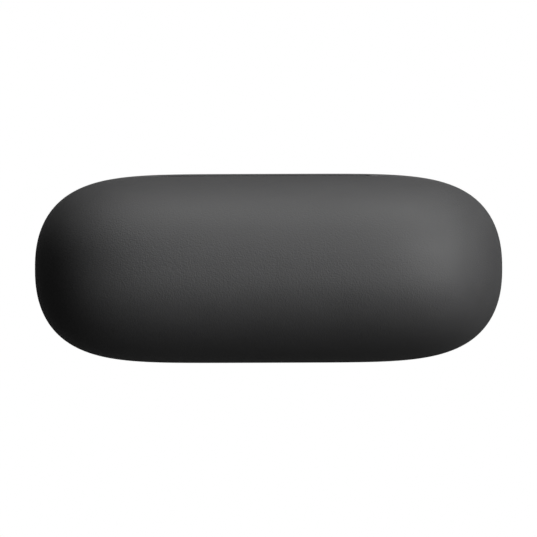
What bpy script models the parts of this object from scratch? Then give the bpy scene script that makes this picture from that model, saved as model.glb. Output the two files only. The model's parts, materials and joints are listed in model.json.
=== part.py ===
"""Wireless earbuds case: an upright pebble with a hinged lid, two charging wells and its working parts.

Metres, +Z up. The origin is the middle of the flat foot. +X is the case's width, -Y its front and
+Y its back, where the lid's hinge is. The lid is closed.
"""

import math

import bmesh
import bpy
from mathutils import Matrix, Vector
from mathutils.geometry import tessellate_polygon

MM = 0.001

# The pebble form
WIDTH = 66.0 * MM
DEPTH = 26.7 * MM
HEIGHT = 50.0 * MM
BELLY_HEIGHT = 26.0 * MM  # where the form is widest
FOOT_SINK = 2.0 * MM  # how far the flat foot cuts into the round underside
END_POWER = 5.5  # how squarely the form ends along its width
SIDE_POWER = 2.3
CROWN_POWER = 2.2
KEEL_POWER = 2.6

# Shells
WALL = 1.4 * MM
FLOOR = 1.6 * MM
SEAM_HEIGHT = 31.0 * MM
SEAM_GAP = 0.3 * MM
FIT_GAP = 0.25 * MM  # between a shell and the moulding inside it
PART_GAP = 0.15 * MM  # between parts that rest on each other
LINER_WALL = 2.0 * MM
LINER_RISE = 1.25 * MM  # the liner's rim above the seam

# Cradle and wells
LIP_RISE = 0.8 * MM  # the cradle's lip above the seam
LIP_WALL = 1.1 * MM
DECK_DROP = 0.7 * MM  # the deck's top below the seam
DECK_THICKNESS = 1.2 * MM
WELL_WALL = 1.0 * MM
WELL_HALF_LENGTH = 10.6 * MM
WELL_HALF_DEPTH = 8.3 * MM
WELL_DEPTH = 11.3 * MM
WELL_END_MARGIN = 1.6 * MM  # between the well's wall and the lip, at the case's end
WELL_FORWARD = 0.6 * MM  # the wells sit this far in front of the middle, to leave the hinge room
WELL_TAPER = 0.16  # how much narrower the well is towards the middle of the case
WELL_PLAN_POWER = 2.5
WELL_BOWL_POWER = 9.0
WELL_FALL_POWER = 2.5
TIP_DEPTH = 1.8 * MM  # the ear tip's hollow, below the well's floor
TIP_RADIUS = 5.6 * MM
TIP_END = 4.7 * MM  # from the well's inner end to the middle of the hollow
MAGNET_HOLDER_WALL = 0.7 * MM
MAGNET_HOLDER_ROOF = 0.6 * MM

# Hinge
HINGE_SETBACK = 0.1 * MM  # between the wall's thickness and the hinge's axis
KNUCKLE_COVER = 0.25 * MM  # the skin's line behind the knuckles
KNUCKLE_RADIUS = 1.25 * MM
PIN_RADIUS = 0.5 * MM
PIN_CLEARANCE = 0.06 * MM
KNUCKLE_GAP = 0.2 * MM
HINGE_CLEARANCE = 0.2 * MM
CENTRE_KNUCKLE_HALF = 5.0 * MM
LID_KNUCKLE_LENGTH = 4.8 * MM
LUG_LENGTH = 3.8 * MM
ARM_INSET = 0.02 * MM  # how far a knuckle's arm stays inside its ends
BASE_LEAF_THICKNESS = 0.8 * MM
BASE_LEAF_CORNER = 1.4 * MM
BASE_LEAF_BACK = 0.5 * MM  # the base leaf's rear face, in front of the axis
BASE_LEAF_DROP = 8.5 * MM
LID_LEAF_THICKNESS = 0.8 * MM
LID_LEAF_BACK = 0.9 * MM
LID_LEAF_RISE = 5.1 * MM
LID_LEAF_GAP = 0.4 * MM  # between the lid leaf's plate and the knuckles
LID_LEAF_CORNER = 1.0 * MM
LID_LEAF_MARGIN = 1.0 * MM  # the plate past its knuckles
SLOT_RISE = 1.9 * MM  # the lid's rear slot above the axis
SLOT_CORNER = 0.4 * MM
SLOT_FRONT = 0.2 * MM  # the slot's front, before the axis
SLOT_SKIN = 0.3 * MM  # how far behind the axis the skin is at the slot's ends
BEAD_COVER = 0.1 * MM  # the skin's line behind the beads
BAY_DROP = 1.0 * MM  # the base's rear bay below the axis
LINER_BACK = 2.4 * MM  # the liner's flat back, in front of the axis
CRADLE_BACK = 2.0 * MM
FLATTEN_POWER = 10.0
SPRING_WALL = 0.3 * MM  # the centre knuckle round its spring
SPRING_WIRE = 0.09 * MM
SPRING_MARGIN = 0.4 * MM  # at each end of the centre knuckle

# Screws
SCREW_RADIUS = 0.6 * MM
SCREW_CLEARANCE = 0.06 * MM
SCREW_HEAD_RADIUS = 1.1 * MM
SCREW_HEAD_HEIGHT = 0.45 * MM
SCREW_BOSS_RADIUS = 1.5 * MM
SCREW_TIP = 0.2 * MM
BASE_SCREW_MARGIN = 1.3 * MM  # between the boss and the leaf's lower edge
LID_SCREW_MARGIN = 0.4 * MM  # between the head and the leaf's upper edge
LEAF_SCREW_X = 7.6 * MM
CHASSIS_SCREW_X = 19.0 * MM

# Pairing button
BUTTON_HEIGHT = 14.0 * MM
BUTTON_RADIUS = 2.75 * MM
BUTTON_CLEARANCE = 0.15 * MM
BUTTON_TRAVEL = 0.4 * MM
BUTTON_FLANGE = 0.7 * MM
BUTTON_PROUD = 0.15 * MM
BUTTON_EDGE = 0.2 * MM
FLANGE_THICKNESS = 0.6 * MM
STEM_RADIUS = 0.9 * MM
STEM_LENGTH = 2.0 * MM
SWITCH_SIZE = Vector((4.5, 1.4, 4.5)) * MM
SWITCH_CORNER = 0.4 * MM
NUB_RADIUS = 1.0 * MM
NUB_SINK = 0.3 * MM  # how deep the switch's nub sits in its body, at rest
STEM_GAP = 0.05 * MM  # between the stem and the nub
BUTTON_BOARD_HALF = 4.5 * MM
BUTTON_BOARD_RISE = 3.0 * MM
BUTTON_BOARD_DROP = 4.0 * MM

# Charging socket
SOCKET_WIDTH = 8.94 * MM
SOCKET_DEPTH = 3.16 * MM
SOCKET_WALL = 0.3 * MM
SOCKET_LENGTH = 7.2 * MM
SOCKET_SINK = 0.4 * MM  # the socket's mouth above the foot
TONGUE_WIDTH = 6.7 * MM
TONGUE_THICKNESS = 0.7 * MM
TONGUE_ROOT = 1.6 * MM
TONGUE_SINK = 1.2 * MM  # the tongue's tip inside the mouth
TONGUE_EDGE = 0.25 * MM
GASKET_ROOM = 0.7 * MM  # between the socket and the shell's mouth
GASKET_SINK = 0.3 * MM

# Charging contacts
CONTACT_PITCH = 3.0 * MM
CONTACT_MARGIN = 1.3 * MM  # from the hollow's rim to the inner contact
BARREL_RADIUS = 0.9 * MM
BARREL_BORE = 0.62 * MM
BARREL_LENGTH = 3.7 * MM
BARREL_FLOOR = 0.5 * MM
HOLDER_MARGIN = 0.6 * MM  # the contact block round its barrels
PLUNGER_RADIUS = 0.55 * MM
PLUNGER_LENGTH = 2.2 * MM
PLUNGER_RISE = 0.8 * MM
PLUNGER_DOME = 0.3 * MM
CONTACT_SPRING_RADIUS = 0.42 * MM
CONTACT_SPRING_WIRE = 0.07 * MM
CONTACT_SPRING_GAP = 0.05 * MM
HOLDER_CORNER = 0.6 * MM

# Magnets
MAGNET_X = 3.4 * MM
MAGNET_SIZE = Vector((5.0, 1.2, 2.4)) * MM
BUD_MAGNET_RADIUS = 2.2 * MM
BUD_MAGNET_HEIGHT = 1.4 * MM
BUD_RING_WALL = 0.5 * MM
LID_MAGNET_RISE = 0.8 * MM  # above the liner's rim
MAGNET_COVER = 0.35 * MM  # the moulding in front of the magnets

# Power and boards
BATTERY = Vector((40.0, 5.6, 11.0)) * MM
BATTERY_HEIGHT = 4.6 * MM
BATTERY_EDGE = 2.0 * MM
BATTERY_GAP = 0.7 * MM  # between the battery and the socket's line
PAD_LENGTH = 28.0 * MM
PAD_WIDTH = 1.96 * MM
BOARD_THICKNESS = 0.8 * MM
BOARD_WIDTH = 25.0 * MM
CHASSIS_HEIGHT = 2.0 * MM
CHASSIS_THICKNESS = 1.0 * MM
CHASSIS_RISE = 0.3 * MM  # the board above the chassis's plate
POST_WIDTH = 2.2 * MM
POST_LAP = 0.7 * MM  # the post over the board's end
POST_WALL = 0.8 * MM
POST_HEIGHT = 12.0 * MM
BUTTON_WALL = 1.2 * MM
BUTTON_WALL_HALF = 5.5 * MM
CAN_SIZE = Vector((9.0, 1.3, 4.0)) * MM
CAN_RISE = 1.3 * MM  # above the socket
CAN_EDGE = 0.5 * MM
BOARD_CORNER = 1.0 * MM
LAMP_HEIGHT = 22.0 * MM
PIPE_RADIUS = 0.8 * MM
PIPE_FLANGE = 1.5 * MM
PIPE_FLANGE_THICKNESS = 0.5 * MM
PIPE_EDGE = 0.05 * MM
LAMP_SIZE = Vector((1.6, 0.6, 0.8)) * MM
SENSOR_SIZE = Vector((1.6, 0.6, 1.2)) * MM
SENSOR_RISE = 1.2 * MM  # above the lamp's middle
SENSOR_BOARD = Vector((9.0, 0.6, 6.0)) * MM
SENSOR_BOARD_CORNER = 0.8 * MM
FLEX_THICKNESS = 0.15 * MM
FLEX_HALF = 2.0 * MM
FLEX_RISE = 0.7 * MM  # over the battery
FLEX_BEND = 0.5 * MM

# Facets
ROUND_COUNT = 44  # round the form
WELL_COUNT = 28
DOME_LEVELS = [0, 0.13, 0.3, 0.48, 0.66, 0.82, 0.93, 0.985]
BASE_LEVELS = [0, 0.08, 0.2, 0.36, 0.6, 1]
MANY_CUTS = ("base_shell", "cradle")  # these need the solver that keeps a long chain of cuts closed
TURN_SHARE = 0.5  # how far the points gather where the outline turns
REACH = 4 * MM  # how far a cutter runs past what it cuts
HOLE_EASE = 0.1 * MM  # round a part in its hole

# What follows from the sizes
HALF_WIDTH = WIDTH / 2
HALF_DEPTH = DEPTH / 2
CROWN = HEIGHT - BELLY_HEIGHT
KEEL = BELLY_HEIGHT + FOOT_SINK
DECK = SEAM_HEIGHT - DECK_DROP
LIP_INSET = WALL + FIT_GAP
AXIS_X = Vector((1, 0, 0))
AXIS_Y = Vector((0, 1, 0))
AXIS_Z = Vector((0, 0, 1))


# ---------------------------------------------------------------- the form

def fullness(z, inset=0.0):
    """What the plan formula adds up to at a height: 1 at the belly, 0 at the crown."""
    if z > BELLY_HEIGHT:
        return 1 - ((z - BELLY_HEIGHT) / (CROWN - inset)) ** CROWN_POWER
    return 1 - ((BELLY_HEIGHT - z) / (KEEL - inset)) ** KEEL_POWER


def half_depth_at(x, z, inset=0.0):
    """How far the form reaches from the middle towards its back, at a place along it."""
    left = fullness(z, inset) - (abs(x) / (HALF_WIDTH - inset)) ** END_POWER
    return (HALF_DEPTH - inset) * max(left, 0.0) ** (1 / SIDE_POWER)


def half_width_at(y, z, inset=0.0):
    left = fullness(z, inset) - (abs(y) / (HALF_DEPTH - inset)) ** SIDE_POWER
    return (HALF_WIDTH - inset) * max(left, 0.0) ** (1 / END_POWER)


def crown_height_at(x, y, inset=0.0):
    """The form's top surface over a point of the plan."""
    used = (abs(x) / (HALF_WIDTH - inset)) ** END_POWER
    used += (abs(y) / (HALF_DEPTH - inset)) ** SIDE_POWER
    return BELLY_HEIGHT + (CROWN - inset) * max(1 - used, 0.0) ** (1 / CROWN_POWER)


def spaced(points, count):
    """The ends and count-1 places between them, gathered where the line turns."""
    way, turn, steps = 0.0, 0.0, [(0.0, 0.0)]
    for before, here, after in zip(points, points[1:], points[2:] + points[-1:]):
        way += (here - before).length
        if (after - here).length > 0:
            turn += (here - before).angle(after - here, 0.0)
        steps.append((way, turn))
    marks = [w / way * (1 - TURN_SHARE) + t / turn * TURN_SHARE for w, t in steps]
    found, index = [points[0]], 1
    for step in range(1, count):
        wanted = step / count
        while marks[index] < wanted:
            index += 1
        share = (wanted - marks[index - 1]) / (marks[index] - marks[index - 1])
        found.append(points[index - 1].lerp(points[index], share))
    return found + [points[-1]]


def quarter(half_width, half_depth, count):
    fine = []
    samples = 300
    for step in range(samples + 1):
        angle = math.pi / 2 * (1 - (1 - step / samples) ** 3)
        x = half_width * max(math.cos(angle), 0.0) ** (2 / END_POWER)
        y = half_depth * max(math.sin(angle), 0.0) ** (2 / SIDE_POWER)
        fine.append(Vector((0.0 if step == samples else x, y)))
    return spaced(fine, count)


def outline(z, inset=0.0):
    """The form's plan at a height, as points round it from +X towards +Y."""
    share = fullness(z, inset)
    half_width = (HALF_WIDTH - inset) * share ** (1 / END_POWER)
    half_depth = (HALF_DEPTH - inset) * share ** (1 / SIDE_POWER)
    first = quarter(half_width, half_depth, ROUND_COUNT // 4)
    upper = first + [Vector((-p.x, p.y)) for p in first[-2::-1]]
    return upper + [Vector((p.x, -p.y)) for p in upper[-2:0:-1]]


def flat_back(points, limit):
    """Eases an outline to run flat across the back, so that the hinge has room behind it."""
    eased = []
    for p in points:
        y = p.y
        if y > 0:
            y /= (1 + (y / limit) ** FLATTEN_POWER) ** (1 / FLATTEN_POWER)
        eased.append(Vector((p.x, y)))
    return eased


def at_height(points, z):
    return [Vector((p.x, p.y, z)) for p in points]


HINGE_INSET = max(WALL + HINGE_SETBACK, KNUCKLE_RADIUS + KNUCKLE_COVER)
HINGE_Y = half_depth_at(0.0, SEAM_HEIGHT) - HINGE_INSET
HINGE_Z = SEAM_HEIGHT
CRADLE_LIMIT = HINGE_Y - CRADLE_BACK
LINER_LIMIT = HINGE_Y - LINER_BACK
LID_KNUCKLE_START = CENTRE_KNUCKLE_HALF + KNUCKLE_GAP
LUG_START = LID_KNUCKLE_START + LID_KNUCKLE_LENGTH + KNUCKLE_GAP
LUG_END = LUG_START + LUG_LENGTH
BAY_HALF = LUG_END + HINGE_CLEARANCE
SLOT_HALF = half_width_at(HINGE_Y + SLOT_SKIN, SEAM_HEIGHT)
BASE_SCREW_Z = HINGE_Z - BASE_LEAF_DROP + SCREW_BOSS_RADIUS + BASE_SCREW_MARGIN
LID_SCREW_Z = HINGE_Z + LID_LEAF_RISE - SCREW_HEAD_RADIUS - LID_SCREW_MARGIN
WELL_X = half_width_at(0.0, DECK, LIP_INSET + LIP_WALL) - WELL_END_MARGIN - WELL_HALF_LENGTH
TIP_INWARD = WELL_HALF_LENGTH - TIP_END
WELL_FLOOR = DECK - WELL_DEPTH
WELL_UNDERSIDE = WELL_FLOOR - WELL_WALL
CONTACT_OUTWARD = TIP_RADIUS - TIP_INWARD + CONTACT_MARGIN
CONTACT_XS = [WELL_X + CONTACT_OUTWARD, WELL_X + CONTACT_OUTWARD + CONTACT_PITCH]
CONTACT_MIDDLE = sum(CONTACT_XS) / 2
BLOCK_TOP = WELL_UNDERSIDE - PART_GAP
BARREL_BOTTOM = WELL_FLOOR - BARREL_LENGTH
BUD_BORE = BUD_MAGNET_RADIUS + FIT_GAP / 2
BUD_RING_OUTER = BUD_BORE + BUD_RING_WALL
BOARD_FRONT = SOCKET_DEPTH / 2 + CHASSIS_RISE
BOARD_BACK = BOARD_FRONT + BOARD_THICKNESS
CHASSIS_TOP = CHASSIS_HEIGHT + CHASSIS_THICKNESS
BATTERY_TOP = BATTERY_HEIGHT + BATTERY.z
MOUTH_HALF_WIDTH = SOCKET_WIDTH / 2 + GASKET_ROOM
MOUTH_HALF_DEPTH = SOCKET_DEPTH / 2 + GASKET_ROOM
BUTTON_SURFACE = half_depth_at(0.0, BUTTON_HEIGHT)
FLANGE_RADIUS = BUTTON_RADIUS + BUTTON_FLANGE
FLANGE_BACK = half_depth_at(0.0, BUTTON_HEIGHT - FLANGE_RADIUS, WALL) - FIT_GAP
STEM_TIP = FLANGE_BACK - FLANGE_THICKNESS - STEM_LENGTH
NUB_RISE = BUTTON_TRAVEL + STEM_GAP
NUB_TIP = STEM_TIP - STEM_GAP
SWITCH_BACK = NUB_TIP - NUB_RISE
BUTTON_BOARD_BACK = SWITCH_BACK - SWITCH_SIZE.y - PART_GAP


# ---------------------------------------------------------------- mesh tools

def clear_scene():
    for obj in list(bpy.data.objects):
        bpy.data.objects.remove(obj)


def finish(obj, colour, roughness, metallic=0.0):
    material = bpy.data.materials.new(obj.name)
    material.use_nodes = True
    shader = material.node_tree.nodes["Principled BSDF"]
    shader.inputs["Base Color"].default_value = (*colour, 1)
    shader.inputs["Roughness"].default_value = roughness
    shader.inputs["Metallic"].default_value = metallic
    obj.data.materials.append(material)


def make(name, bm, sharp=35):
    """An object from a closed mesh, its faces pointing out."""
    bmesh.ops.recalc_face_normals(bm, faces=bm.faces)
    mesh = bpy.data.meshes.new(name)
    bm.to_mesh(mesh)
    bm.free()
    mesh.shade_smooth()
    mesh.set_sharp_from_angle(angle=math.radians(sharp))
    obj = bpy.data.objects.new(name, mesh)
    bpy.context.scene.collection.objects.link(obj)
    return obj


def add_rings(bm, rings, closed=False):
    """Quads between closed rings of points; closed joins the last ring to the first."""
    made = [[bm.verts.new(p) for p in ring] for ring in rings]
    pairs = list(zip(made, made[1:]))
    if closed:
        pairs.append((made[-1], made[0]))
    for low, high in pairs:
        for i, start in enumerate(low):
            after = (i + 1) % len(low)
            bm.faces.new((start, low[after], high[after], high[i]))
    return made


def add_pole(bm, ring, point):
    pole = bm.verts.new(point)
    for i, start in enumerate(ring):
        bm.faces.new((start, ring[(i + 1) % len(ring)], pole))


def lofted(name, rings, sharp=35):
    """A solid through the rings, closed by a flat face at each end."""
    bm = bmesh.new()
    made = add_rings(bm, rings)
    bm.faces.new(made[0])
    bm.faces.new(made[-1])
    return make(name, bm, sharp)


def frame_for(axis):
    """Two directions square to the axis."""
    side = AXIS_X if abs(axis.x) < 0.5 else AXIS_Y
    return side, axis.cross(side)


def turned(name, profile, axis, centre, steps=16, sharp=35):
    """A solid of revolution. The profile is (radius, distance along the axis); a radius of 0 is a pole."""
    side, other = frame_for(axis)
    bm = bmesh.new()
    rings = []
    for radius, along in profile:
        if radius > 0:
            turns = [2 * math.pi * i / steps for i in range(steps)]
            middle = centre + axis * along
            rings.append([middle + (side * math.cos(t) + other * math.sin(t)) * radius for t in turns])
    hollow = profile[0][0] > 0 and profile[-1][0] > 0
    made = add_rings(bm, rings, closed=hollow)
    if not hollow:
        add_pole(bm, made[0], centre + axis * profile[0][1])
        add_pole(bm, made[-1], centre + axis * profile[-1][1])
    return make(name, bm, sharp)


def rod(name, radius, axis, start, length, steps=16):
    return turned(name, [(0, 0), (radius, 0), (radius, length), (0, length)], axis, start, steps)


def rounded(half_a, half_b, radius, steps=3):
    """A rectangle with round corners, as 2D points."""
    points = []
    for corner, (sa, sb) in enumerate(((1, 1), (-1, 1), (-1, -1), (1, -1))):
        for step in range(steps + 1):
            angle = math.pi / 2 * (corner + step / steps)
            across = sa * (half_a - radius) + radius * math.cos(angle)
            along = sb * (half_b - radius) + radius * math.sin(angle)
            points.append(Vector((across, along)))
    return points


def prism(name, flat, axis, centre, length, sharp=35):
    """A flat outline drawn along an axis from its centre. The outline's two directions are frame_for's."""
    side, other = frame_for(axis)
    start = [centre + side * p.x + other * p.y for p in flat]
    return lofted(name, [start, [p + axis * length for p in start]], sharp)


def block(name, low, high, radius=0.0, axis=AXIS_Z):
    """A box between two corners, its edges along the axis rounded."""
    low, high = Vector(low), Vector(high)
    middle, half = (low + high) / 2, (high - low) / 2
    side, other = frame_for(axis)
    reach = abs(half.dot(axis))
    half_a = sum(abs(s) * h for s, h in zip(side, half))
    half_b = sum(abs(s) * h for s, h in zip(other, half))
    if radius:
        flat = rounded(half_a, half_b, radius)
    else:
        flat = [Vector((half_a, half_b)), Vector((-half_a, half_b))]
        flat += [Vector((-half_a, -half_b)), Vector((half_a, -half_b))]
    return prism(name, flat, axis, middle - axis * reach, 2 * reach)


def helper(obj):
    obj.hide_render = True
    obj.display_type = "WIRE"
    return obj


def combine(obj, other, operation):
    modifier = obj.modifiers.new(other.name, "BOOLEAN")
    modifier.operation = operation
    modifier.solver = "MANIFOLD" if obj.name in MANY_CUTS else "EXACT"
    modifier.object = helper(other)


def cut(obj, *cutters):
    for cutter in cutters:
        combine(obj, cutter, "DIFFERENCE")


def add(obj, *others):
    for other in others:
        combine(obj, other, "UNION")


def left_and_right():
    return (("left", -1), ("right", 1))


# ---------------------------------------------------------------- shells

def dome_rings(rim, inset, levels, limit=None):
    """Rings from the rim up to just under the crown, and the crown point."""
    plan = outline(rim, inset)
    rim_share = fullness(rim, inset)
    rings = []
    for level in levels:
        z = rim + (HEIGHT - inset - rim) * level
        scale = (fullness(z, inset) / rim_share) ** (1 / SIDE_POWER)
        ring = []
        for p in plan:
            x, y = p.x * scale, p.y * scale
            height = rim if level == 0 else crown_height_at(x, y, inset)
            ring.append(Vector((x, y, height)))
        if limit:
            flat = flat_back(ring, limit)
            ring = [Vector((f.x, f.y, p.z)) for f, p in zip(flat, ring)]
        rings.append(ring)
    return rings, Vector((0, 0, HEIGHT - inset))


def dome(name, rim, outer, inner, limits=(None, None)):
    """A cup over the rim's height, between two insets of the form."""
    bm = bmesh.new()
    outside, outer_pole = dome_rings(rim, outer, DOME_LEVELS, limits[0])
    inside, inner_pole = dome_rings(rim, inner, DOME_LEVELS, limits[1])
    made = add_rings(bm, outside[::-1] + inside)
    add_pole(bm, made[0], outer_pole)
    add_pole(bm, made[-1], inner_pole)
    return make(name, bm)


def slot_cutter():
    """Cuts the lid's rear slot and the room round the knuckles: a profile of the two, drawn along X."""
    room = KNUCKLE_RADIUS + HINGE_CLEARANCE
    upper = math.acos(SLOT_FRONT / room)
    steps = 10
    turns = [-math.pi / 2 + (math.pi / 2 + upper) * step / steps for step in range(steps + 1)]
    arc = [(-room * math.cos(t), room * math.sin(t)) for t in turns]
    corner = []
    for step in range(4):
        turn = math.pi / 6 * step
        corner.append((SLOT_CORNER * (1 - math.cos(turn)), SLOT_CORNER * (1 - math.sin(turn))))
    ends = [(SLOT_HALF - inward, SLOT_RISE - drop) for inward, drop in corner]
    rings = []
    for x, top in [(-x, top) for x, top in ends] + ends[::-1]:
        profile = arc + [(-SLOT_FRONT, top), (REACH + WALL, top), (REACH + WALL, -room)]
        rings.append([Vector((x, HINGE_Y + y, HINGE_Z + z)) for y, z in profile])
    return lofted("slot_cutter", rings)


def bay_cutter():
    """Cuts the base's rear bay and the room round the knuckles below it."""
    room = KNUCKLE_RADIUS + HINGE_CLEARANCE
    steps = 12
    turns = [math.pi * (1 + step / steps) for step in range(steps + 1)]
    floor = [Vector((room * math.cos(t), min(room * math.sin(t), -BAY_DROP))) for t in turns]
    flat = [Vector((-REACH, REACH)), Vector((-REACH, -BAY_DROP))] + floor
    flat += [Vector((REACH, -BAY_DROP)), Vector((REACH, REACH))]
    return prism("bay_cutter", flat, AXIS_X, Vector((-BAY_HALF, HINGE_Y, HINGE_Z)), 2 * BAY_HALF)


def screw_hole(name, x, y, z, axis, length):
    return rod(name, SCREW_RADIUS + SCREW_CLEARANCE, axis, Vector((x, y, z)), length, 12)


def lid_shell():
    shell = dome("lid_shell", SEAM_HEIGHT + SEAM_GAP / 2, 0.0, WALL)
    cut(shell, slot_cutter())
    for side, sign in left_and_right():
        start, length = lid_screw_span()
        hole = screw_hole(f"lid_hole_cutter_{side}", sign * LEAF_SCREW_X, start, LID_SCREW_Z, AXIS_Y, length)
        cut(shell, hole)
    finish(shell, (0.05, 0.05, 0.052), 0.55)
    return shell


def lid_liner():
    rim = SEAM_HEIGHT + LINER_RISE
    limits = (LINER_LIMIT, LINER_LIMIT - LINER_WALL / 2)
    liner = dome("lid_liner", rim, LIP_INSET, LIP_INSET + LINER_WALL, limits)
    low, high = magnet_box(1, lid_magnet_floor(), FIT_GAP / 2)
    for side, sign in left_and_right():
        box = sorted((sign * low.x, sign * high.x))
        pocket = block(f"liner_pocket_{side}", (box[0], low.y - REACH, low.z), (box[1], high.y, high.z))
        cut(liner, pocket)
    finish(liner, (0.035, 0.035, 0.037), 0.5)
    return liner


def base_levels(floor):
    """Heights of the base's rings: from its floor to the belly, and the rim."""
    levels = [floor + (BELLY_HEIGHT - floor) * share for share in BASE_LEVELS]
    return levels + [SEAM_HEIGHT - SEAM_GAP / 2]


def base_shell():
    outside = [at_height(outline(z), z) for z in base_levels(0.0)]
    inside = [at_height(outline(z, WALL), z) for z in base_levels(FLOOR)]
    shell = lofted("base_shell", outside + inside[::-1])
    for side, sign in left_and_right():
        add(shell, hinge_bead(side, sign))
        boss_start = HINGE_Y - BASE_LEAF_BACK + PART_GAP
        boss_end = half_depth_at(0.0, BASE_SCREW_Z, WALL / 2)
        boss_place = Vector((sign * LEAF_SCREW_X, boss_start, BASE_SCREW_Z))
        boss = rod(f"screw_boss_{side}", SCREW_BOSS_RADIUS, AXIS_Y, boss_place, boss_end - boss_start)
        add(shell, boss)
    cut(shell, bay_cutter())
    for side, sign in left_and_right():
        start, length = base_screw_span()
        hole = screw_hole(f"base_hole_{side}", sign * LEAF_SCREW_X, start, BASE_SCREW_Z, AXIS_Y, length)
        cut(shell, hole)
        low = FLOOR / 2 - HOLE_EASE
        cut(shell, screw_hole(f"floor_hole_{side}", sign * CHASSIS_SCREW_X, 0.0, low, AXIS_Z, 2 * FLOOR))
    mouth = stadium(MOUTH_HALF_WIDTH + HOLE_EASE, MOUTH_HALF_DEPTH + HOLE_EASE)
    cut(shell, prism("mouth_cutter", mouth, AXIS_Z, Vector((0, 0, -REACH)), FLOOR + 2 * REACH))
    button_start = Vector((0, BUTTON_SURFACE - REACH, BUTTON_HEIGHT))
    cut(shell, rod("button_cutter", BUTTON_RADIUS + BUTTON_CLEARANCE, AXIS_Y, button_start, 2 * REACH, 28))
    pipe_start = Vector((0, -half_depth_at(0.0, LAMP_HEIGHT) + REACH, LAMP_HEIGHT))
    cut(shell, rod("pipe_cutter", PIPE_RADIUS + HOLE_EASE, -AXIS_Y, pipe_start, 2 * REACH, 16))
    finish(shell, (0.05, 0.05, 0.052), 0.55)
    return shell


def facet_depth(plan, x):
    """How far back an outline's flat facets reach at a place along it."""
    for start, end in zip(plan, plan[1:]):
        if end.x <= x <= start.x:
            return start.lerp(end, (start.x - x) / (start.x - end.x)).y
    return 0.0


def hinge_bead(side, sign):
    """The round ridge beside the hinge that fills the lid's rear slot."""
    stations, steps = 5, 20
    plan = outline(SEAM_HEIGHT)
    start, end = BAY_HALF - MM, SLOT_HALF - HINGE_CLEARANCE
    rings = []
    for station in range(stations):
        x = start + (end - start) * station / (stations - 1)
        skin = facet_depth(plan, x) - BEAD_COVER
        ring = []
        for step in range(steps):
            turn = 2 * math.pi * step / steps
            z = HINGE_Z + KNUCKLE_RADIUS * math.sin(turn)
            y = min(HINGE_Y + KNUCKLE_RADIUS * math.cos(turn), skin)
            ring.append(Vector((sign * x, y, z)))
        rings.append(ring)
    return lofted(f"hinge_bead_{side}", rings)


# ---------------------------------------------------------------- cradle

def well_plan(grow=0.0, scale=1.0):
    """The well's outline about its own middle, in the right-hand well."""
    points = []
    for step in range(WELL_COUNT):
        turn = 2 * math.pi * step / WELL_COUNT
        c, s = math.cos(turn), math.sin(turn)
        x = math.copysign(abs(c) ** (2 / WELL_PLAN_POWER), c)
        y = math.copysign(abs(s) ** (2 / WELL_PLAN_POWER), s)
        taper = 1 + WELL_TAPER * x * scale - WELL_TAPER
        points.append(Vector((x * (WELL_HALF_LENGTH + grow), y * (WELL_HALF_DEPTH * taper + grow))) * scale)
    return points


def tip_hollow(x, y):
    """How deep the ear tip's hollow is at a place in the right-hand well, from the well's middle."""
    away = math.hypot(x + TIP_INWARD, y) / TIP_RADIUS
    return TIP_DEPTH * (0.5 + 0.5 * math.cos(math.pi * away)) if away < 1 else 0.0


def well_rings(sign, scales, grow):
    """Rings down the well's inner wall, or its outer wall when grow is the wall's thickness."""
    rings = []
    for scale in scales:
        fall = (1 - scale ** WELL_BOWL_POWER) ** (1 / WELL_FALL_POWER)
        ring = []
        for p in well_plan(grow, scale):
            z = DECK - fall * (WELL_DEPTH + grow + tip_hollow(p.x, p.y))
            ring.append(Vector((sign * (WELL_X + p.x), p.y - WELL_FORWARD, z)))
        rings.append(ring)
    return rings


def fill_between(bm, boundary, holes):
    """Flat triangles between a boundary and the holes in it."""
    loops = [boundary] + holes
    flat = [[Vector((v.co.x, v.co.y, 0)) for v in loop] for loop in loops]
    corners = [v for loop in loops for v in loop]
    for triangle in tessellate_polygon(flat):
        bm.faces.new([corners[i] for i in triangle])


def cradle_body():
    """The deck, its lip and the two wells, as one closed mesh."""
    bm = bmesh.new()
    plate = DECK - DECK_THICKNESS
    lip_top = SEAM_HEIGHT + LIP_RISE
    outer_low = flat_back(outline(plate, LIP_INSET), CRADLE_LIMIT)
    outer_seam = flat_back(outline(SEAM_HEIGHT, LIP_INSET), CRADLE_LIMIT)
    inner = flat_back(outline(SEAM_HEIGHT, LIP_INSET + LIP_WALL), CRADLE_LIMIT - LIP_WALL)
    rings = [at_height(outer_low, plate), at_height(outer_seam, lip_top)]
    rings += [at_height(inner, lip_top), at_height(inner, DECK)]
    skirt = add_rings(bm, rings)
    inner_scales = [1, 0.99, 0.955, 0.88, 0.76, 0.55, 0.3]
    share = DECK_THICKNESS / (WELL_DEPTH + WELL_WALL)
    first = (1 - share ** WELL_FALL_POWER) ** (1 / WELL_BOWL_POWER)
    outer_scales = [first, 0.985, 0.94, 0.85, 0.7, 0.5, 0.28]
    deck_holes, plate_holes = [], []
    for sign in (-1, 1):
        inside = add_rings(bm, well_rings(sign, inner_scales, 0.0))
        outside_rings = well_rings(sign, outer_scales, WELL_WALL)
        outside_rings[0] = at_height(outside_rings[0], plate)
        outside = add_rings(bm, outside_rings)
        middle = Vector((sign * WELL_X, -WELL_FORWARD, 0))
        hollow = tip_hollow(0, 0)
        add_pole(bm, inside[-1], middle + AXIS_Z * (WELL_FLOOR - hollow))
        add_pole(bm, outside[-1], middle + AXIS_Z * (WELL_UNDERSIDE - hollow))
        deck_holes.append(inside[0])
        plate_holes.append(outside[0])
    fill_between(bm, skirt[-1], deck_holes)
    fill_between(bm, skirt[0], plate_holes)
    return make("cradle", bm)


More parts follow.
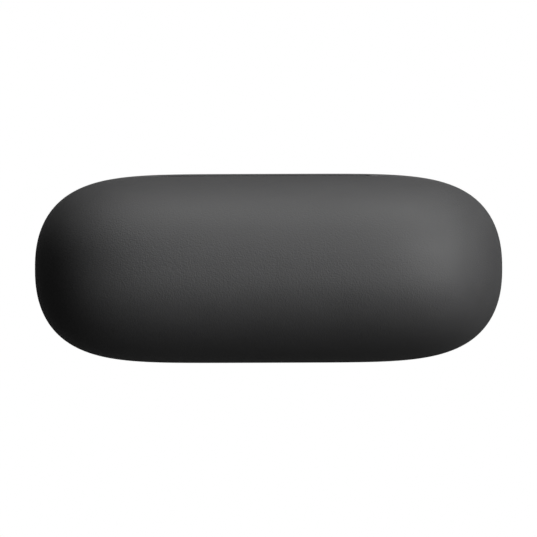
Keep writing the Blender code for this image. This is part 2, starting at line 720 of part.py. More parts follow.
def magnet_box(sign, bottom, grow=0.0):
    """The corners of a closing magnet that stands on a height, behind the front wall."""
    narrow = max(bottom + MAGNET_SIZE.z, SEAM_HEIGHT)
    front = -half_depth_at(MAGNET_X + MAGNET_SIZE.x / 2, narrow, LIP_INSET) + MAGNET_COVER
    middle = sign * MAGNET_X
    half = MAGNET_SIZE.x / 2
    low = Vector((middle - half - grow, front - grow, bottom - grow))
    high = Vector((middle + half + grow, front + MAGNET_SIZE.y + grow, bottom + MAGNET_SIZE.z + grow))
    return low, high


def base_magnet_floor():
    return DECK - DECK_THICKNESS - PART_GAP - MAGNET_SIZE.z


def lid_magnet_floor():
    return SEAM_HEIGHT + LINER_RISE + LID_MAGNET_RISE


def bud_magnet_place(sign):
    y = -WELL_FORWARD + BARREL_RADIUS + HOLDER_MARGIN + FIT_GAP + BUD_RING_OUTER
    z = WELL_UNDERSIDE - PART_GAP - BUD_MAGNET_HEIGHT
    return Vector((sign * (WELL_X + CONTACT_OUTWARD + CONTACT_PITCH / 2), y, z))


def cradle():
    body = cradle_body()
    for side, sign in left_and_right():
        low, high = magnet_box(sign, base_magnet_floor(), FIT_GAP / 2)
        holder_low = low - Vector((MAGNET_HOLDER_WALL, HOLE_EASE, 0))
        holder_high = high + Vector((MAGNET_HOLDER_WALL, MAGNET_HOLDER_WALL, MAGNET_HOLDER_ROOF))
        add(body, block(f"magnet_holder_{side}", holder_low, holder_high))
        drop = Vector((0, 0, 2 * MM))
        cut(body, block(f"magnet_pocket_{side}", low - drop, high))
        place = bud_magnet_place(sign)
        ring_height = BUD_MAGNET_HEIGHT + MAGNET_HOLDER_ROOF
        add(body, rod(f"bud_ring_{side}", BUD_RING_OUTER, AXIS_Z, place, ring_height, 16))
        depth = BUD_MAGNET_HEIGHT + PART_GAP + drop.z
        cut(body, rod(f"bud_bore_{side}", BUD_BORE, AXIS_Z, place - drop, depth, 16))
        for number, x in enumerate(CONTACT_XS):
            start = Vector((sign * x, -WELL_FORWARD, WELL_UNDERSIDE - REACH))
            radius = BARREL_RADIUS + HOLE_EASE
            hole = rod(f"contact_hole_{side}_{number}", radius, AXIS_Z, start, 2 * REACH, 16)
            cut(body, hole)
    finish(body, (0.03, 0.03, 0.032), 0.5)
    return body


# ---------------------------------------------------------------- hinge

def base_screw_span():
    """Where a base leaf screw's shank starts, and how far its hole runs."""
    start = HINGE_Y - BASE_LEAF_BACK - BASE_LEAF_THICKNESS
    end = half_depth_at(LEAF_SCREW_X, BASE_SCREW_Z, WALL / 2)
    return start, end - start


def lid_screw_span():
    start = HINGE_Y - LID_LEAF_BACK - LID_LEAF_THICKNESS
    end = half_depth_at(LEAF_SCREW_X, LID_SCREW_Z, WALL / 2) + HOLE_EASE
    return start, end - start


def knuckle(name, start, end):
    return rod(name, KNUCKLE_RADIUS, AXIS_X, Vector((start, HINGE_Y, HINGE_Z)), end - start, 20)


def bore(name, radius, start, end):
    return rod(name, radius, AXIS_X, Vector((start, HINGE_Y, HINGE_Z)), end - start, 14)


def base_leaf():
    back = HINGE_Y - BASE_LEAF_BACK
    front = back - BASE_LEAF_THICKNESS
    top = HINGE_Z - KNUCKLE_RADIUS - HINGE_CLEARANCE
    low = (-LUG_END, front, HINGE_Z - BASE_LEAF_DROP)
    leaf = block("hinge_base_leaf", low, (LUG_END, back, top), BASE_LEAF_CORNER, AXIS_Y)
    spans = [("centre", -CENTRE_KNUCKLE_HALF, CENTRE_KNUCKLE_HALF)]
    spans += [("left", -LUG_END, -LUG_START), ("right", LUG_START, LUG_END)]
    for where, start, end in spans:
        arm_low = (start + ARM_INSET, front + ARM_INSET, top - BASE_LEAF_CORNER)
        arm_high = (end - ARM_INSET, back + HINGE_CLEARANCE, HINGE_Z - HOLE_EASE)
        add(leaf, block(f"base_arm_{where}", arm_low, arm_high))
        add(leaf, knuckle(f"base_knuckle_{where}", start, end))
    run = LUG_END + MM
    cut(leaf, bore("base_pin_bore", PIN_RADIUS + PIN_CLEARANCE, -run, run))
    spring_run = CENTRE_KNUCKLE_HALF + KNUCKLE_GAP / 2
    cut(leaf, bore("spring_bore", KNUCKLE_RADIUS - SPRING_WALL, -spring_run, spring_run))
    for side, sign in left_and_right():
        start = front - REACH / 2
        hole = screw_hole(f"base_leaf_hole_{side}", sign * LEAF_SCREW_X, start, BASE_SCREW_Z, AXIS_Y, REACH)
        cut(leaf, hole)
    finish(leaf, (0.45, 0.45, 0.46), 0.35, 1.0)


def lid_leaf():
    back = HINGE_Y - LID_LEAF_BACK
    front = back - LID_LEAF_THICKNESS
    bottom = HINGE_Z + KNUCKLE_RADIUS + LID_LEAF_GAP
    end = LID_KNUCKLE_START + LID_KNUCKLE_LENGTH
    low = (-end - LID_LEAF_MARGIN, front, bottom)
    high = (end + LID_LEAF_MARGIN, back, HINGE_Z + LID_LEAF_RISE)
    leaf = block("hinge_lid_leaf", low, high, LID_LEAF_CORNER, AXIS_Y)
    for side, sign in left_and_right():
        start, stop = sorted((sign * LID_KNUCKLE_START, sign * end))
        arm_low = (start + ARM_INSET, front + ARM_INSET, HINGE_Z + HOLE_EASE)
        arm_high = (stop - ARM_INSET, back + LID_LEAF_GAP, bottom + LID_LEAF_CORNER)
        add(leaf, block(f"lid_arm_{side}", arm_low, arm_high))
        add(leaf, knuckle(f"lid_knuckle_{side}", start, stop))
    cut(leaf, bore("lid_pin_bore", PIN_RADIUS + PIN_CLEARANCE, -LUG_END, LUG_END))
    for side, sign in left_and_right():
        start = front - REACH / 2
        hole = screw_hole(f"lid_leaf_hole_{side}", sign * LEAF_SCREW_X, start, LID_SCREW_Z, AXIS_Y, REACH)
        cut(leaf, hole)
    finish(leaf, (0.45, 0.45, 0.46), 0.35, 1.0)


def hinge_pin():
    reach = LUG_END - HOLE_EASE
    bevel = PIN_RADIUS / 5
    profile = [(0, -reach), (PIN_RADIUS - bevel, -reach), (PIN_RADIUS, bevel - reach)]
    profile += [(PIN_RADIUS, reach - bevel), (PIN_RADIUS - bevel, reach), (0, reach)]
    pin = turned("hinge_pin", profile, AXIS_X, Vector((0, HINGE_Y, HINGE_Z)), 14)
    finish(pin, (0.6, 0.6, 0.61), 0.25, 1.0)


def coil(name, wire, radius, axis, start, length, turns, steps):
    """A spring's helix, its ends closed flat."""
    side, other = frame_for(axis)
    rings = []
    count = turns * steps
    for step in range(count + 1):
        turn = 2 * math.pi * step / steps
        out = side * math.cos(turn) + other * math.sin(turn)
        centre = start + axis * (wire + (length - 2 * wire) * step / count) + out * radius
        ring = []
        for corner in range(4):
            angle = math.pi / 2 * corner
            ring.append(centre + (out * math.cos(angle) + axis * math.sin(angle)) * wire)
        rings.append(ring)
    return lofted(name, rings, 80)


def hinge_spring():
    half = CENTRE_KNUCKLE_HALF - SPRING_MARGIN
    start = Vector((-half, HINGE_Y, HINGE_Z))
    radius = (PIN_RADIUS + KNUCKLE_RADIUS - SPRING_WALL) / 2
    spring = coil("hinge_spring", SPRING_WIRE, radius, AXIS_X, start, 2 * half, 7, 8)
    finish(spring, (0.5, 0.5, 0.5), 0.3, 1.0)


def screw(name, place, axis, length):
    """A pan-head screw. The place is under its head, and the shank runs along the axis."""
    head, tip = SCREW_HEAD_HEIGHT, SCREW_TIP
    profile = [(0, -head), (SCREW_HEAD_RADIUS * 0.8, -head), (SCREW_HEAD_RADIUS, -head * 0.6)]
    profile += [(SCREW_HEAD_RADIUS, 0), (SCREW_RADIUS, 0)]
    profile += [(SCREW_RADIUS, length - tip), (SCREW_RADIUS - tip, length), (0, length)]
    obj = turned(name, profile, axis, place, 12)
    finish(obj, (0.3, 0.3, 0.31), 0.3, 1.0)


def screws():
    for side, sign in left_and_right():
        start, length = base_screw_span()
        place = Vector((sign * LEAF_SCREW_X, start - PART_GAP, BASE_SCREW_Z))
        screw(f"hinge_base_screw_{side}", place, AXIS_Y, length - HOLE_EASE)
        start, length = lid_screw_span()
        place = Vector((sign * LEAF_SCREW_X, start - PART_GAP, LID_SCREW_Z))
        screw(f"hinge_lid_screw_{side}", place, AXIS_Y, length - HOLE_EASE)
        top = CHASSIS_TOP + PART_GAP
        place = Vector((sign * CHASSIS_SCREW_X, 0, top))
        screw(f"chassis_screw_{side}", place, -AXIS_Z, top - FLOOR / 2)


# ---------------------------------------------------------------- charging contacts and magnets

def contacts():
    for side, sign in left_and_right():
        for place_name, x in zip(("inner", "outer"), CONTACT_XS):
            name = f"{side}_{place_name}"
            foot = Vector((sign * x, -WELL_FORWARD, BARREL_BOTTOM))
            profile = [(0, 0), (BARREL_RADIUS, 0), (BARREL_RADIUS, BARREL_LENGTH)]
            profile += [(BARREL_BORE, BARREL_LENGTH), (BARREL_BORE, BARREL_FLOOR), (0, BARREL_FLOOR)]
            barrel = turned(f"contact_barrel_{name}", profile, AXIS_Z, foot, 16)
            finish(barrel, (0.7, 0.5, 0.2), 0.3, 1.0)
            top = BARREL_LENGTH + PLUNGER_RISE
            low = top - PLUNGER_LENGTH
            profile = [(0, low), (PLUNGER_RADIUS, low), (PLUNGER_RADIUS, top - PLUNGER_DOME)]
            profile += [(PLUNGER_RADIUS * 0.7, top - PLUNGER_DOME * 0.3), (0, top)]
            plunger = turned(f"contact_plunger_{name}", profile, AXIS_Z, foot, 14)
            finish(plunger, (0.8, 0.6, 0.25), 0.25, 1.0)
            start = foot + AXIS_Z * (BARREL_FLOOR + CONTACT_SPRING_GAP)
            length = low - BARREL_FLOOR - 2 * CONTACT_SPRING_GAP
            wire, radius = CONTACT_SPRING_WIRE, CONTACT_SPRING_RADIUS
            spring = coil(f"contact_spring_{name}", wire, radius, AXIS_Z, start, length, 4, 7)
            finish(spring, (0.6, 0.6, 0.6), 0.3, 1.0)


def contact_holders():
    board_top = BARREL_BOTTOM - PART_GAP
    for side, sign in left_and_right():
        half = CONTACT_PITCH / 2 + BARREL_RADIUS + HOLDER_MARGIN
        half_depth = BARREL_RADIUS + HOLDER_MARGIN
        middle = Vector((sign * CONTACT_MIDDLE, -WELL_FORWARD, 0))
        low = middle + Vector((-half, -half_depth, BARREL_BOTTOM + PART_GAP))
        high = middle + Vector((half, half_depth, BLOCK_TOP))
        body = block(f"contact_block_{side}", low, high, HOLDER_CORNER)
        for number, x in enumerate(CONTACT_XS):
            start = Vector((sign * x, -WELL_FORWARD, low.z - MM))
            radius = BARREL_RADIUS + HOLE_EASE
            hole = rod(f"block_hole_{side}_{number}", radius, AXIS_Z, start, 2 * REACH, 16)
            cut(body, hole)
        finish(body, (0.02, 0.02, 0.02), 0.5)
        low = middle + Vector((-half, -half_depth, board_top - BOARD_THICKNESS))
        high = middle + Vector((half, half_depth, board_top))
        board = block(f"contact_board_{side}", low, high, HOLDER_CORNER)
        finish(board, (0.02, 0.12, 0.05), 0.5)


def magnets():
    for side, sign in left_and_right():
        low, high = magnet_box(sign, base_magnet_floor())
        base = block(f"base_magnet_{side}", low, high)
        low, high = magnet_box(sign, lid_magnet_floor())
        lid = block(f"lid_magnet_{side}", low, high)
        place = bud_magnet_place(sign)
        bud = rod(f"bud_magnet_{side}", BUD_MAGNET_RADIUS, AXIS_Z, place, BUD_MAGNET_HEIGHT, 16)
        for magnet in (base, lid, bud):
            finish(magnet, (0.55, 0.55, 0.56), 0.25, 1.0)


# ---------------------------------------------------------------- power, socket and boards

def stadium(half_a, half_b, steps=4):
    almost_half = 0.999  # keeps the straight ends of the round corners apart
    return rounded(half_a, half_b, half_b * almost_half, steps)


def sleeve(name, half_a, half_b, wall, z, length):
    """A tube of stadium section, open at both ends."""
    outer = stadium(half_a, half_b)
    inner = stadium(half_a - wall, half_b - wall)
    bm = bmesh.new()
    rings = [at_height(outer, z), at_height(outer, z + length)]
    rings += [at_height(inner, z + length), at_height(inner, z)]
    add_rings(bm, rings, closed=True)
    return make(name, bm)


def socket():
    half_a, half_b = SOCKET_WIDTH / 2, SOCKET_DEPTH / 2
    shell = sleeve("socket_shell", half_a, half_b, SOCKET_WALL, SOCKET_SINK, SOCKET_LENGTH)
    finish(shell, (0.6, 0.6, 0.61), 0.25, 1.0)
    top = SOCKET_SINK + SOCKET_LENGTH - HOLE_EASE
    plug = stadium(half_a - SOCKET_WALL - HOLE_EASE, half_b - SOCKET_WALL - HOLE_EASE)
    tongue = prism("socket_tongue", plug, AXIS_Z, Vector((0, 0, top - TONGUE_ROOT)), TONGUE_ROOT)
    half_w, half_t = TONGUE_WIDTH / 2, TONGUE_THICKNESS / 2
    blade_low = (-half_w, -half_t, SOCKET_SINK + TONGUE_SINK)
    add(tongue, block("tongue_blade", blade_low, (half_w, half_t, top - TONGUE_ROOT / 2), TONGUE_EDGE))
    finish(tongue, (0.02, 0.02, 0.02), 0.4)
    wall = GASKET_ROOM - HOLE_EASE
    gasket = sleeve("socket_gasket", MOUTH_HALF_WIDTH, MOUTH_HALF_DEPTH, wall, GASKET_SINK, FLOOR)
    finish(gasket, (0.03, 0.03, 0.03), 0.7)


def chassis():
    plan = outline(CHASSIS_HEIGHT, WALL + 2 * FIT_GAP)
    frame = lofted("chassis", [at_height(plan, CHASSIS_HEIGHT), at_height(plan, CHASSIS_TOP)])
    root = CHASSIS_TOP - CHASSIS_THICKNESS / 2
    post_inner = BOARD_WIDTH / 2 - POST_LAP
    for side, sign in left_and_right():
        box = sorted((sign * post_inner, sign * (post_inner + POST_WIDTH)))
        post_low = (box[0], BOARD_FRONT - POST_WALL, root)
        post_high = (box[1], BOARD_BACK + POST_WALL, POST_HEIGHT)
        add(frame, block(f"board_post_{side}", post_low, post_high))
    wall_back = BUTTON_BOARD_BACK - BOARD_THICKNESS - PART_GAP
    wall_low = (-BUTTON_WALL_HALF, wall_back - BUTTON_WALL, root)
    wall_high = (BUTTON_WALL_HALF, wall_back, BUTTON_HEIGHT + BUTTON_BOARD_RISE)
    add(frame, block("button_wall", wall_low, wall_high))
    slot_half = BOARD_WIDTH / 2 + PART_GAP
    slot_low = (-slot_half, BOARD_FRONT - PART_GAP, CHASSIS_TOP + CHASSIS_RISE - PART_GAP)
    slot_high = (slot_half, BOARD_BACK + PART_GAP, POST_HEIGHT + REACH)
    cut(frame, block("board_slot", slot_low, slot_high))
    opening = stadium(SOCKET_WIDTH / 2 + FIT_GAP, SOCKET_DEPTH / 2 + FIT_GAP)
    low = CHASSIS_HEIGHT - REACH
    cut(frame, prism("socket_opening", opening, AXIS_Z, Vector((0, 0, low)), 2 * REACH))
    for side, sign in left_and_right():
        hole = screw_hole(f"chassis_hole_{side}", sign * CHASSIS_SCREW_X, 0.0, low, AXIS_Z, 2 * REACH)
        cut(frame, hole)
    finish(frame, (0.04, 0.04, 0.045), 0.5)


def power():
    back = -SOCKET_DEPTH / 2 - BATTERY_GAP
    half = BATTERY.x / 2
    low = (-half, back - BATTERY.y, BATTERY_HEIGHT)
    cell = block("battery_cell", low, (half, back, BATTERY_TOP), BATTERY_EDGE, AXIS_X)
    finish(cell, (0.45, 0.46, 0.48), 0.35, 0.6)
    pad_front = back - (BATTERY.y + PAD_WIDTH) / 2
    pad_low = (-PAD_LENGTH / 2, pad_front, CHASSIS_TOP + PART_GAP)
    pad_high = (PAD_LENGTH / 2, pad_front + PAD_WIDTH, BATTERY_HEIGHT - PART_GAP)
    pad = block("battery_pad", pad_low, pad_high)
    finish(pad, (0.02, 0.02, 0.02), 0.9)


def main_board():
    half = BOARD_WIDTH / 2
    low = (-half, BOARD_FRONT, CHASSIS_TOP + CHASSIS_RISE)
    board = block("main_board", low, (half, BOARD_BACK, BATTERY_TOP), BOARD_CORNER, AXIS_Y)
    finish(board, (0.02, 0.12, 0.05), 0.5)
    can_back = BOARD_FRONT - PART_GAP
    half = CAN_SIZE.x / 2
    bottom = SOCKET_SINK + SOCKET_LENGTH + CAN_RISE
    can_low = (-half, can_back - CAN_SIZE.y, bottom)
    can = block("shield_can", can_low, (half, can_back, bottom + CAN_SIZE.z), CAN_EDGE, AXIS_Y)
    finish(can, (0.6, 0.6, 0.6), 0.3, 1.0)


# ---------------------------------------------------------------- button, lamp and sensor

def pairing_button():
    """A round cap whose face follows the case's back, on a flange and a stem."""
    steps = 28
    front = FLANGE_BACK - FLANGE_THICKNESS
    bm = bmesh.new()
    rings = []
    face = BUTTON_RADIUS - BUTTON_EDGE
    for radius, edge in ((face * 0.4, 0.0), (face * 0.75, 0.0), (face, 0.0), (BUTTON_RADIUS, BUTTON_EDGE)):
        ring = []
        for step in range(steps):
            turn = 2 * math.pi * step / steps
            x, z = radius * math.cos(turn), BUTTON_HEIGHT + radius * math.sin(turn)
            ring.append(Vector((x, half_depth_at(x, z) + BUTTON_PROUD - edge, z)))
        rings.append(ring)
    sections = [(BUTTON_RADIUS, FLANGE_BACK), (FLANGE_RADIUS, FLANGE_BACK), (FLANGE_RADIUS, front)]
    sections += [(STEM_RADIUS, front), (STEM_RADIUS, STEM_TIP)]
    for radius, y in sections:
        turns = [2 * math.pi * step / steps for step in range(steps)]
        rings.append([Vector((radius * math.cos(t), y, BUTTON_HEIGHT + radius * math.sin(t))) for t in turns])
    made = add_rings(bm, rings)
    add_pole(bm, made[0], Vector((0, BUTTON_SURFACE + BUTTON_PROUD, BUTTON_HEIGHT)))
    add_pole(bm, made[-1], Vector((0, STEM_TIP, BUTTON_HEIGHT)))
    button = make("pairing_button", bm)
    for vertex in button.data.vertices:
        vertex.co.y -= FLANGE_BACK
        vertex.co.z -= BUTTON_HEIGHT
    button.location = (0, FLANGE_BACK, BUTTON_HEIGHT)
    finish(button, (0.045, 0.045, 0.047), 0.5)


def button_switch():
    """The push switch, the nub that the button's stem pushes into it, and their board."""
    half = SWITCH_SIZE.x / 2
    low = (-half, SWITCH_BACK - SWITCH_SIZE.y, BUTTON_HEIGHT - half)
    high = (half, SWITCH_BACK, BUTTON_HEIGHT + half)
    switch = block("push_switch", low, high, SWITCH_CORNER, AXIS_Y)
    bore_start = Vector((0, SWITCH_BACK - NUB_SINK - BUTTON_TRAVEL - HOLE_EASE, BUTTON_HEIGHT))
    cut(switch, rod("nub_bore", NUB_RADIUS + HOLE_EASE, AXIS_Y, bore_start, REACH, 20))
    finish(switch, (0.4, 0.4, 0.4), 0.35, 0.8)
    nub_start = Vector((0, SWITCH_BACK - NUB_SINK, BUTTON_HEIGHT))
    nub = rod("switch_nub", NUB_RADIUS, AXIS_Y, nub_start, NUB_SINK + NUB_RISE, 20)
    finish(nub, (0.02, 0.02, 0.02), 0.5)
    board_front = BUTTON_BOARD_BACK - BOARD_THICKNESS
    board_low = (-BUTTON_BOARD_HALF, board_front, BUTTON_HEIGHT - BUTTON_BOARD_DROP)
    board_high = (BUTTON_BOARD_HALF, BUTTON_BOARD_BACK, BUTTON_HEIGHT + BUTTON_BOARD_RISE)
    board = block("button_board", board_low, board_high, BOARD_CORNER, AXIS_Y)
    finish(board, (0.02, 0.12, 0.05), 0.5)


def lamp_and_sensor():
    skin = -half_depth_at(0.0, LAMP_HEIGHT)
    flange = -half_depth_at(0.0, LAMP_HEIGHT - PIPE_FLANGE - HOLE_EASE, WALL) + FIT_GAP
    root = flange + PIPE_FLANGE_THICKNESS
    reach = root - skin
    profile = [(0, 0), (PIPE_FLANGE, 0), (PIPE_FLANGE, PIPE_FLANGE_THICKNESS)]
    profile += [(PIPE_RADIUS, PIPE_FLANGE_THICKNESS), (PIPE_RADIUS, reach - PIPE_EDGE)]
    profile += [(PIPE_RADIUS - PIPE_EDGE, reach), (0, reach)]
    pipe = turned("light_pipe", profile, -AXIS_Y, Vector((0, root, LAMP_HEIGHT)), 16)
    finish(pipe, (0.8, 0.82, 0.85), 0.3)
    lamp_low = Vector((-LAMP_SIZE.x / 2, root + PART_GAP, LAMP_HEIGHT - LAMP_SIZE.z / 2))
    lamp = block("status_lamp", lamp_low, lamp_low + LAMP_SIZE)
    finish(lamp, (0.8, 0.8, 0.7), 0.3)
    board_front = lamp_low.y + LAMP_SIZE.y + PART_GAP
    board_low = Vector((-SENSOR_BOARD.x / 2, board_front, LAMP_HEIGHT - SENSOR_BOARD.z / 2))
    board = block("sensor_board", board_low, board_low + SENSOR_BOARD, SENSOR_BOARD_CORNER, AXIS_Y)
    finish(board, (0.02, 0.12, 0.05), 0.5)
    sensor_front = board_front - PART_GAP - SENSOR_SIZE.y
    sensor_low = Vector((-SENSOR_SIZE.x / 2, sensor_front, LAMP_HEIGHT + SENSOR_RISE))
    sensor = block("lid_sensor", sensor_low, sensor_low + SENSOR_SIZE)
    finish(sensor, (0.02, 0.02, 0.02), 0.4)
    sensor_flex(board_front + SENSOR_BOARD.y + PART_GAP)


def sensor_flex(start_y):
    """The flat cable from the sensor board, over the battery, to the main board."""
    over = BATTERY_TOP + FLEX_RISE
    end_y = BOARD_FRONT - PART_GAP - HINGE_CLEARANCE
    high = LAMP_HEIGHT - SENSOR_BOARD.z / 6
    route = [(start_y, high), (start_y, over + 4 * FLEX_BEND)]
    route += [(start_y + FLEX_BEND, over + FLEX_BEND), (start_y + 3 * FLEX_BEND, over)]
    route += [(start_y + 7 * FLEX_BEND, over), (end_y - 5 * FLEX_BEND, over)]
    route += [(end_y - 2 * FLEX_BEND, over - FLEX_BEND / 2), (end_y - FLEX_BEND / 2, over - 2 * FLEX_BEND)]
    route += [(end_y, over - 4 * FLEX_BEND)]
    rings = []
    for i, (y, z) in enumerate(route):
        before, after = route[max(i - 1, 0)], route[min(i + 1, len(route) - 1)]
        along = Vector((0, after[0] - before[0], after[1] - before[1])).normalized()
        out = AXIS_X.cross(along) * FLEX_THICKNESS / 2
        across = AXIS_X * FLEX_HALF
        middle = Vector((0, y, z))
        corners = (across + out, out - across, -across - out, across - out)
        rings.append([middle + corner for corner in corners])
    flex = lofted("sensor_flex", rings)
    finish(flex, (0.45, 0.22, 0.04), 0.4)


def hang_lid():
    """Moves the lid's pieces under an empty on the hinge's axis."""
    pivot = bpy.data.objects.new("lid_pivot", None)
    pivot.location = (0, HINGE_Y, HINGE_Z)
    bpy.context.scene.collection.objects.link(pivot)
    for obj in bpy.data.objects:
        if obj.type == "MESH" and obj.name.startswith(("lid_shell", "lid_liner", "lid_magnet", "hinge_lid")):
            obj.parent = pivot
            obj.matrix_parent_inverse = Matrix.Translation(-pivot.location)


def main():
    clear_scene()
    base_shell()
    cradle()
    chassis()
    power()
    main_board()
    socket()
    button_switch()
    lamp_and_sensor()
    base_leaf()
    hinge_pin()
    hinge_spring()
    lid_shell()
    lid_liner()
    lid_leaf()
    screws()
    magnets()
    contact_holders()
    contacts()
    pairing_button()
    hang_lid()


main()
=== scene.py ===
"""Looks of the wireless earbuds case: smooth mouldings, fine grain, metal fittings and soft studio light."""
import json
import math

import bmesh
import bpy
import numpy as np
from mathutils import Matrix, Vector
from mathutils.geometry import tessellate_polygon


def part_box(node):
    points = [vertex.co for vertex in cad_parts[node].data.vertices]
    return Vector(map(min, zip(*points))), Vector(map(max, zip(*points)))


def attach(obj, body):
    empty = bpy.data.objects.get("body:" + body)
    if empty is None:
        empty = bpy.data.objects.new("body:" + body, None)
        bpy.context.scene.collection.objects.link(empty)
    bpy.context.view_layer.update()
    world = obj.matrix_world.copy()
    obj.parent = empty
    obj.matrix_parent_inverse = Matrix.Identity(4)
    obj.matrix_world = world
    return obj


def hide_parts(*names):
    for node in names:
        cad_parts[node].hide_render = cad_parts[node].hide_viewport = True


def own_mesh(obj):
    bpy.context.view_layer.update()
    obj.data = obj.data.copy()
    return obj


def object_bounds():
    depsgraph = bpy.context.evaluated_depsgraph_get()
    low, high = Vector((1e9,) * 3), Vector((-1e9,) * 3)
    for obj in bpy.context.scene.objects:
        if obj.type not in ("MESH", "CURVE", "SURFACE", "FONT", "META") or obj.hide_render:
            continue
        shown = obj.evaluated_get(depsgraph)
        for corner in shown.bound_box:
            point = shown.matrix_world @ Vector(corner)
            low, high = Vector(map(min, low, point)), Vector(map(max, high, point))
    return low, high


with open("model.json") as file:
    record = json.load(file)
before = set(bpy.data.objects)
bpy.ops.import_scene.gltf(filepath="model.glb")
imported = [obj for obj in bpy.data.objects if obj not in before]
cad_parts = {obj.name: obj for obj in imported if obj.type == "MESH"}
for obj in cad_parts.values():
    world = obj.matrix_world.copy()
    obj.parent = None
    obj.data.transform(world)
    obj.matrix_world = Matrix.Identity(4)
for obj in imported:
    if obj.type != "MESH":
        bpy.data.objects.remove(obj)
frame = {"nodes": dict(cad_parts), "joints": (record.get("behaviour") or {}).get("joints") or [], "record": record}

MM = 0.001
CAD_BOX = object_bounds()

# ---------------------------------------------------------------- sizes

BASE_LOW, BASE_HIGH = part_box("base_shell")
HALF_WIDTH = (BASE_HIGH.x - BASE_LOW.x) / 2
HALF_DEPTH = (BASE_HIGH.y - BASE_LOW.y) / 2
HEIGHT = CAD_BOX[1].z
HINGE = next(Vector(j["pos_m"]) for j in frame["joints"] if j["name"] == "lid_hinge")
SEAM = HINGE.z
LID_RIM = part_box("lid_shell")[0].z
BASE_RIM = 2 * SEAM - LID_RIM
LINER_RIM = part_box("lid_liner")[0].z

BELLY = 26.0 * MM
FOOT_SINK = 2.0 * MM
END_POWER = 5.5
SIDE_POWER = 2.3
CROWN_POWER = 2.2
KEEL_POWER = 2.6
CROWN = HEIGHT - BELLY
KEEL = BELLY + FOOT_SINK

WALL = 1.4 * MM
FLOOR = 1.6 * MM
FIT_INSET = WALL + 0.25 * MM
LINER_WALL = 2.0 * MM
LIP_WALL = 1.1 * MM
LIP_RISE = 0.8 * MM
FLATTEN_POWER = 10.0
CRADLE_LIMIT = HINGE.y - 2.0 * MM
LINER_LIMIT = HINGE.y - 2.4 * MM

DECK = SEAM - 0.7 * MM
DECK_THICKNESS = 1.2 * MM
WELL_WALL = 1.0 * MM
WELL_HALF_LENGTH = 10.6 * MM
WELL_HALF_DEPTH = 8.3 * MM
WELL_DEPTH = 11.3 * MM
WELL_MARGIN = 1.6 * MM
WELL_FORWARD = 0.6 * MM
WELL_TAPER = 0.16
WELL_PLAN_POWER = 2.5
WELL_BOWL_POWER = 9.0
WELL_FALL_POWER = 2.5
TIP_DEPTH = 1.8 * MM
TIP_RADIUS = 5.6 * MM
TIP_INWARD = 5.9 * MM

PIN_RADIUS = 0.5 * MM
PIN_BORE = 0.56 * MM
KNUCKLE_RADIUS = 1.25 * MM
CENTRE_KNUCKLE_HALF = 5.0 * MM
LUG_START = 10.2 * MM
LUG_END = 14.0 * MM
LID_KNUCKLE = (5.2 * MM, 10.0 * MM)
BAY_HALF = LUG_END + 0.2 * MM
BAY_DROP = 1.0 * MM
BAY_SLOPE = 0.5 * MM  # how much lower the base's rim is inside than outside
SLOT_RISE = 1.9 * MM
SLOT_CORNER = 1.5 * MM
SLOT_MARGIN = 0.3 * MM
BEAD_COVER = 0.05 * MM  # how far the hinge beads stay under the skin
BEAD_SOFTNESS = 0.12 * MM
BASE_LEAF_BACK = 0.5 * MM  # in front of the pin's axis
BASE_LEAF_DROP = 0.2 * MM  # below the knuckles
LID_LEAF_BACK = 0.9 * MM
LID_LEAF_LIFT = 0.4 * MM
ARM_INSET = 0.04 * MM

BUTTON = (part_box("pairing_button")[0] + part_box("pairing_button")[1]) / 2
BUTTON_RADIUS = 2.75 * MM
BUTTON_HOLE = BUTTON_RADIUS + 0.15 * MM
BUTTON_PROUD = 0.15 * MM
BUTTON_DISH = 0.12 * MM
BUTTON_STEM_RADIUS = 0.9 * MM
BUTTON_STEM_LENGTH = 2.0 * MM
BUTTON_FLANGE = 0.6 * MM
LAMP_HEIGHT = (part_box("light_pipe")[0].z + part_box("light_pipe")[1].z) / 2
PIPE_RADIUS = 0.8 * MM
PIPE_GAP = 0.1 * MM
PIPE_FLANGE_RADIUS = 1.5 * MM
PIPE_FLANGE = 0.5 * MM
PIPE_DOME = 0.08 * MM

BARREL_RADIUS = 0.9 * MM
BARREL_BORE = 0.62 * MM
BARREL_FLOOR = 0.5 * MM
BARREL_GAP = 0.1 * MM
TIP_PIN_RADIUS = 0.55 * MM
TIP_PIN_DOME = 0.34 * MM
COIL_WIRE = 0.06 * MM
COIL_TURNS = 6

SOCKET_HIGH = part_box("socket_shell")[1]
SOCKET_WALL = 0.3 * MM
GASKET_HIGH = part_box("socket_gasket")[1]
GASKET_WALL = 0.6 * MM
GASKET_GAP = 0.1 * MM
PLUG_GAP = 0.1 * MM
TONGUE_ROOT = 1.6 * MM
TONGUE_HALF_WIDTH = 3.35 * MM
TONGUE_HALF_DEPTH = 0.35 * MM
PADS_A_SIDE = 12
PAD_PITCH = 0.5 * MM
PAD_HALF_WIDTH = 0.125 * MM
PAD_PROUD = 0.03 * MM

# Where the rings round the walls give way to those of the crown
TURN_OVER = SEAM + 9 * MM

# Fine edges that a mould or a press leaves
RIM_EDGE = 0.22 * MM
LINER_EDGE = 0.45 * MM
LIP_EDGE = 0.3 * MM
LIP_FOOT = 0.35 * MM
WELL_EDGE = 0.55 * MM
BEAD_EDGE = 0.35 * MM
MOUTH_EDGE = 0.25 * MM
BUTTON_EDGE = 0.3 * MM
BUTTON_FLARE = 0.18 * MM
LAMP_FLARE = 0.1 * MM
BARREL_EDGE = 0.07 * MM
BARREL_FLARE = 0.12 * MM
LEAF_EDGE = 0.15 * MM
ARM_EDGE = 0.1 * MM
KNUCKLE_EDGE = 0.12 * MM
TONGUE_EDGE = 0.15 * MM
PAD_EDGE = 0.015 * MM
SLEEVE_EDGE = 0.08 * MM
SEAL_EDGE = 0.15 * MM

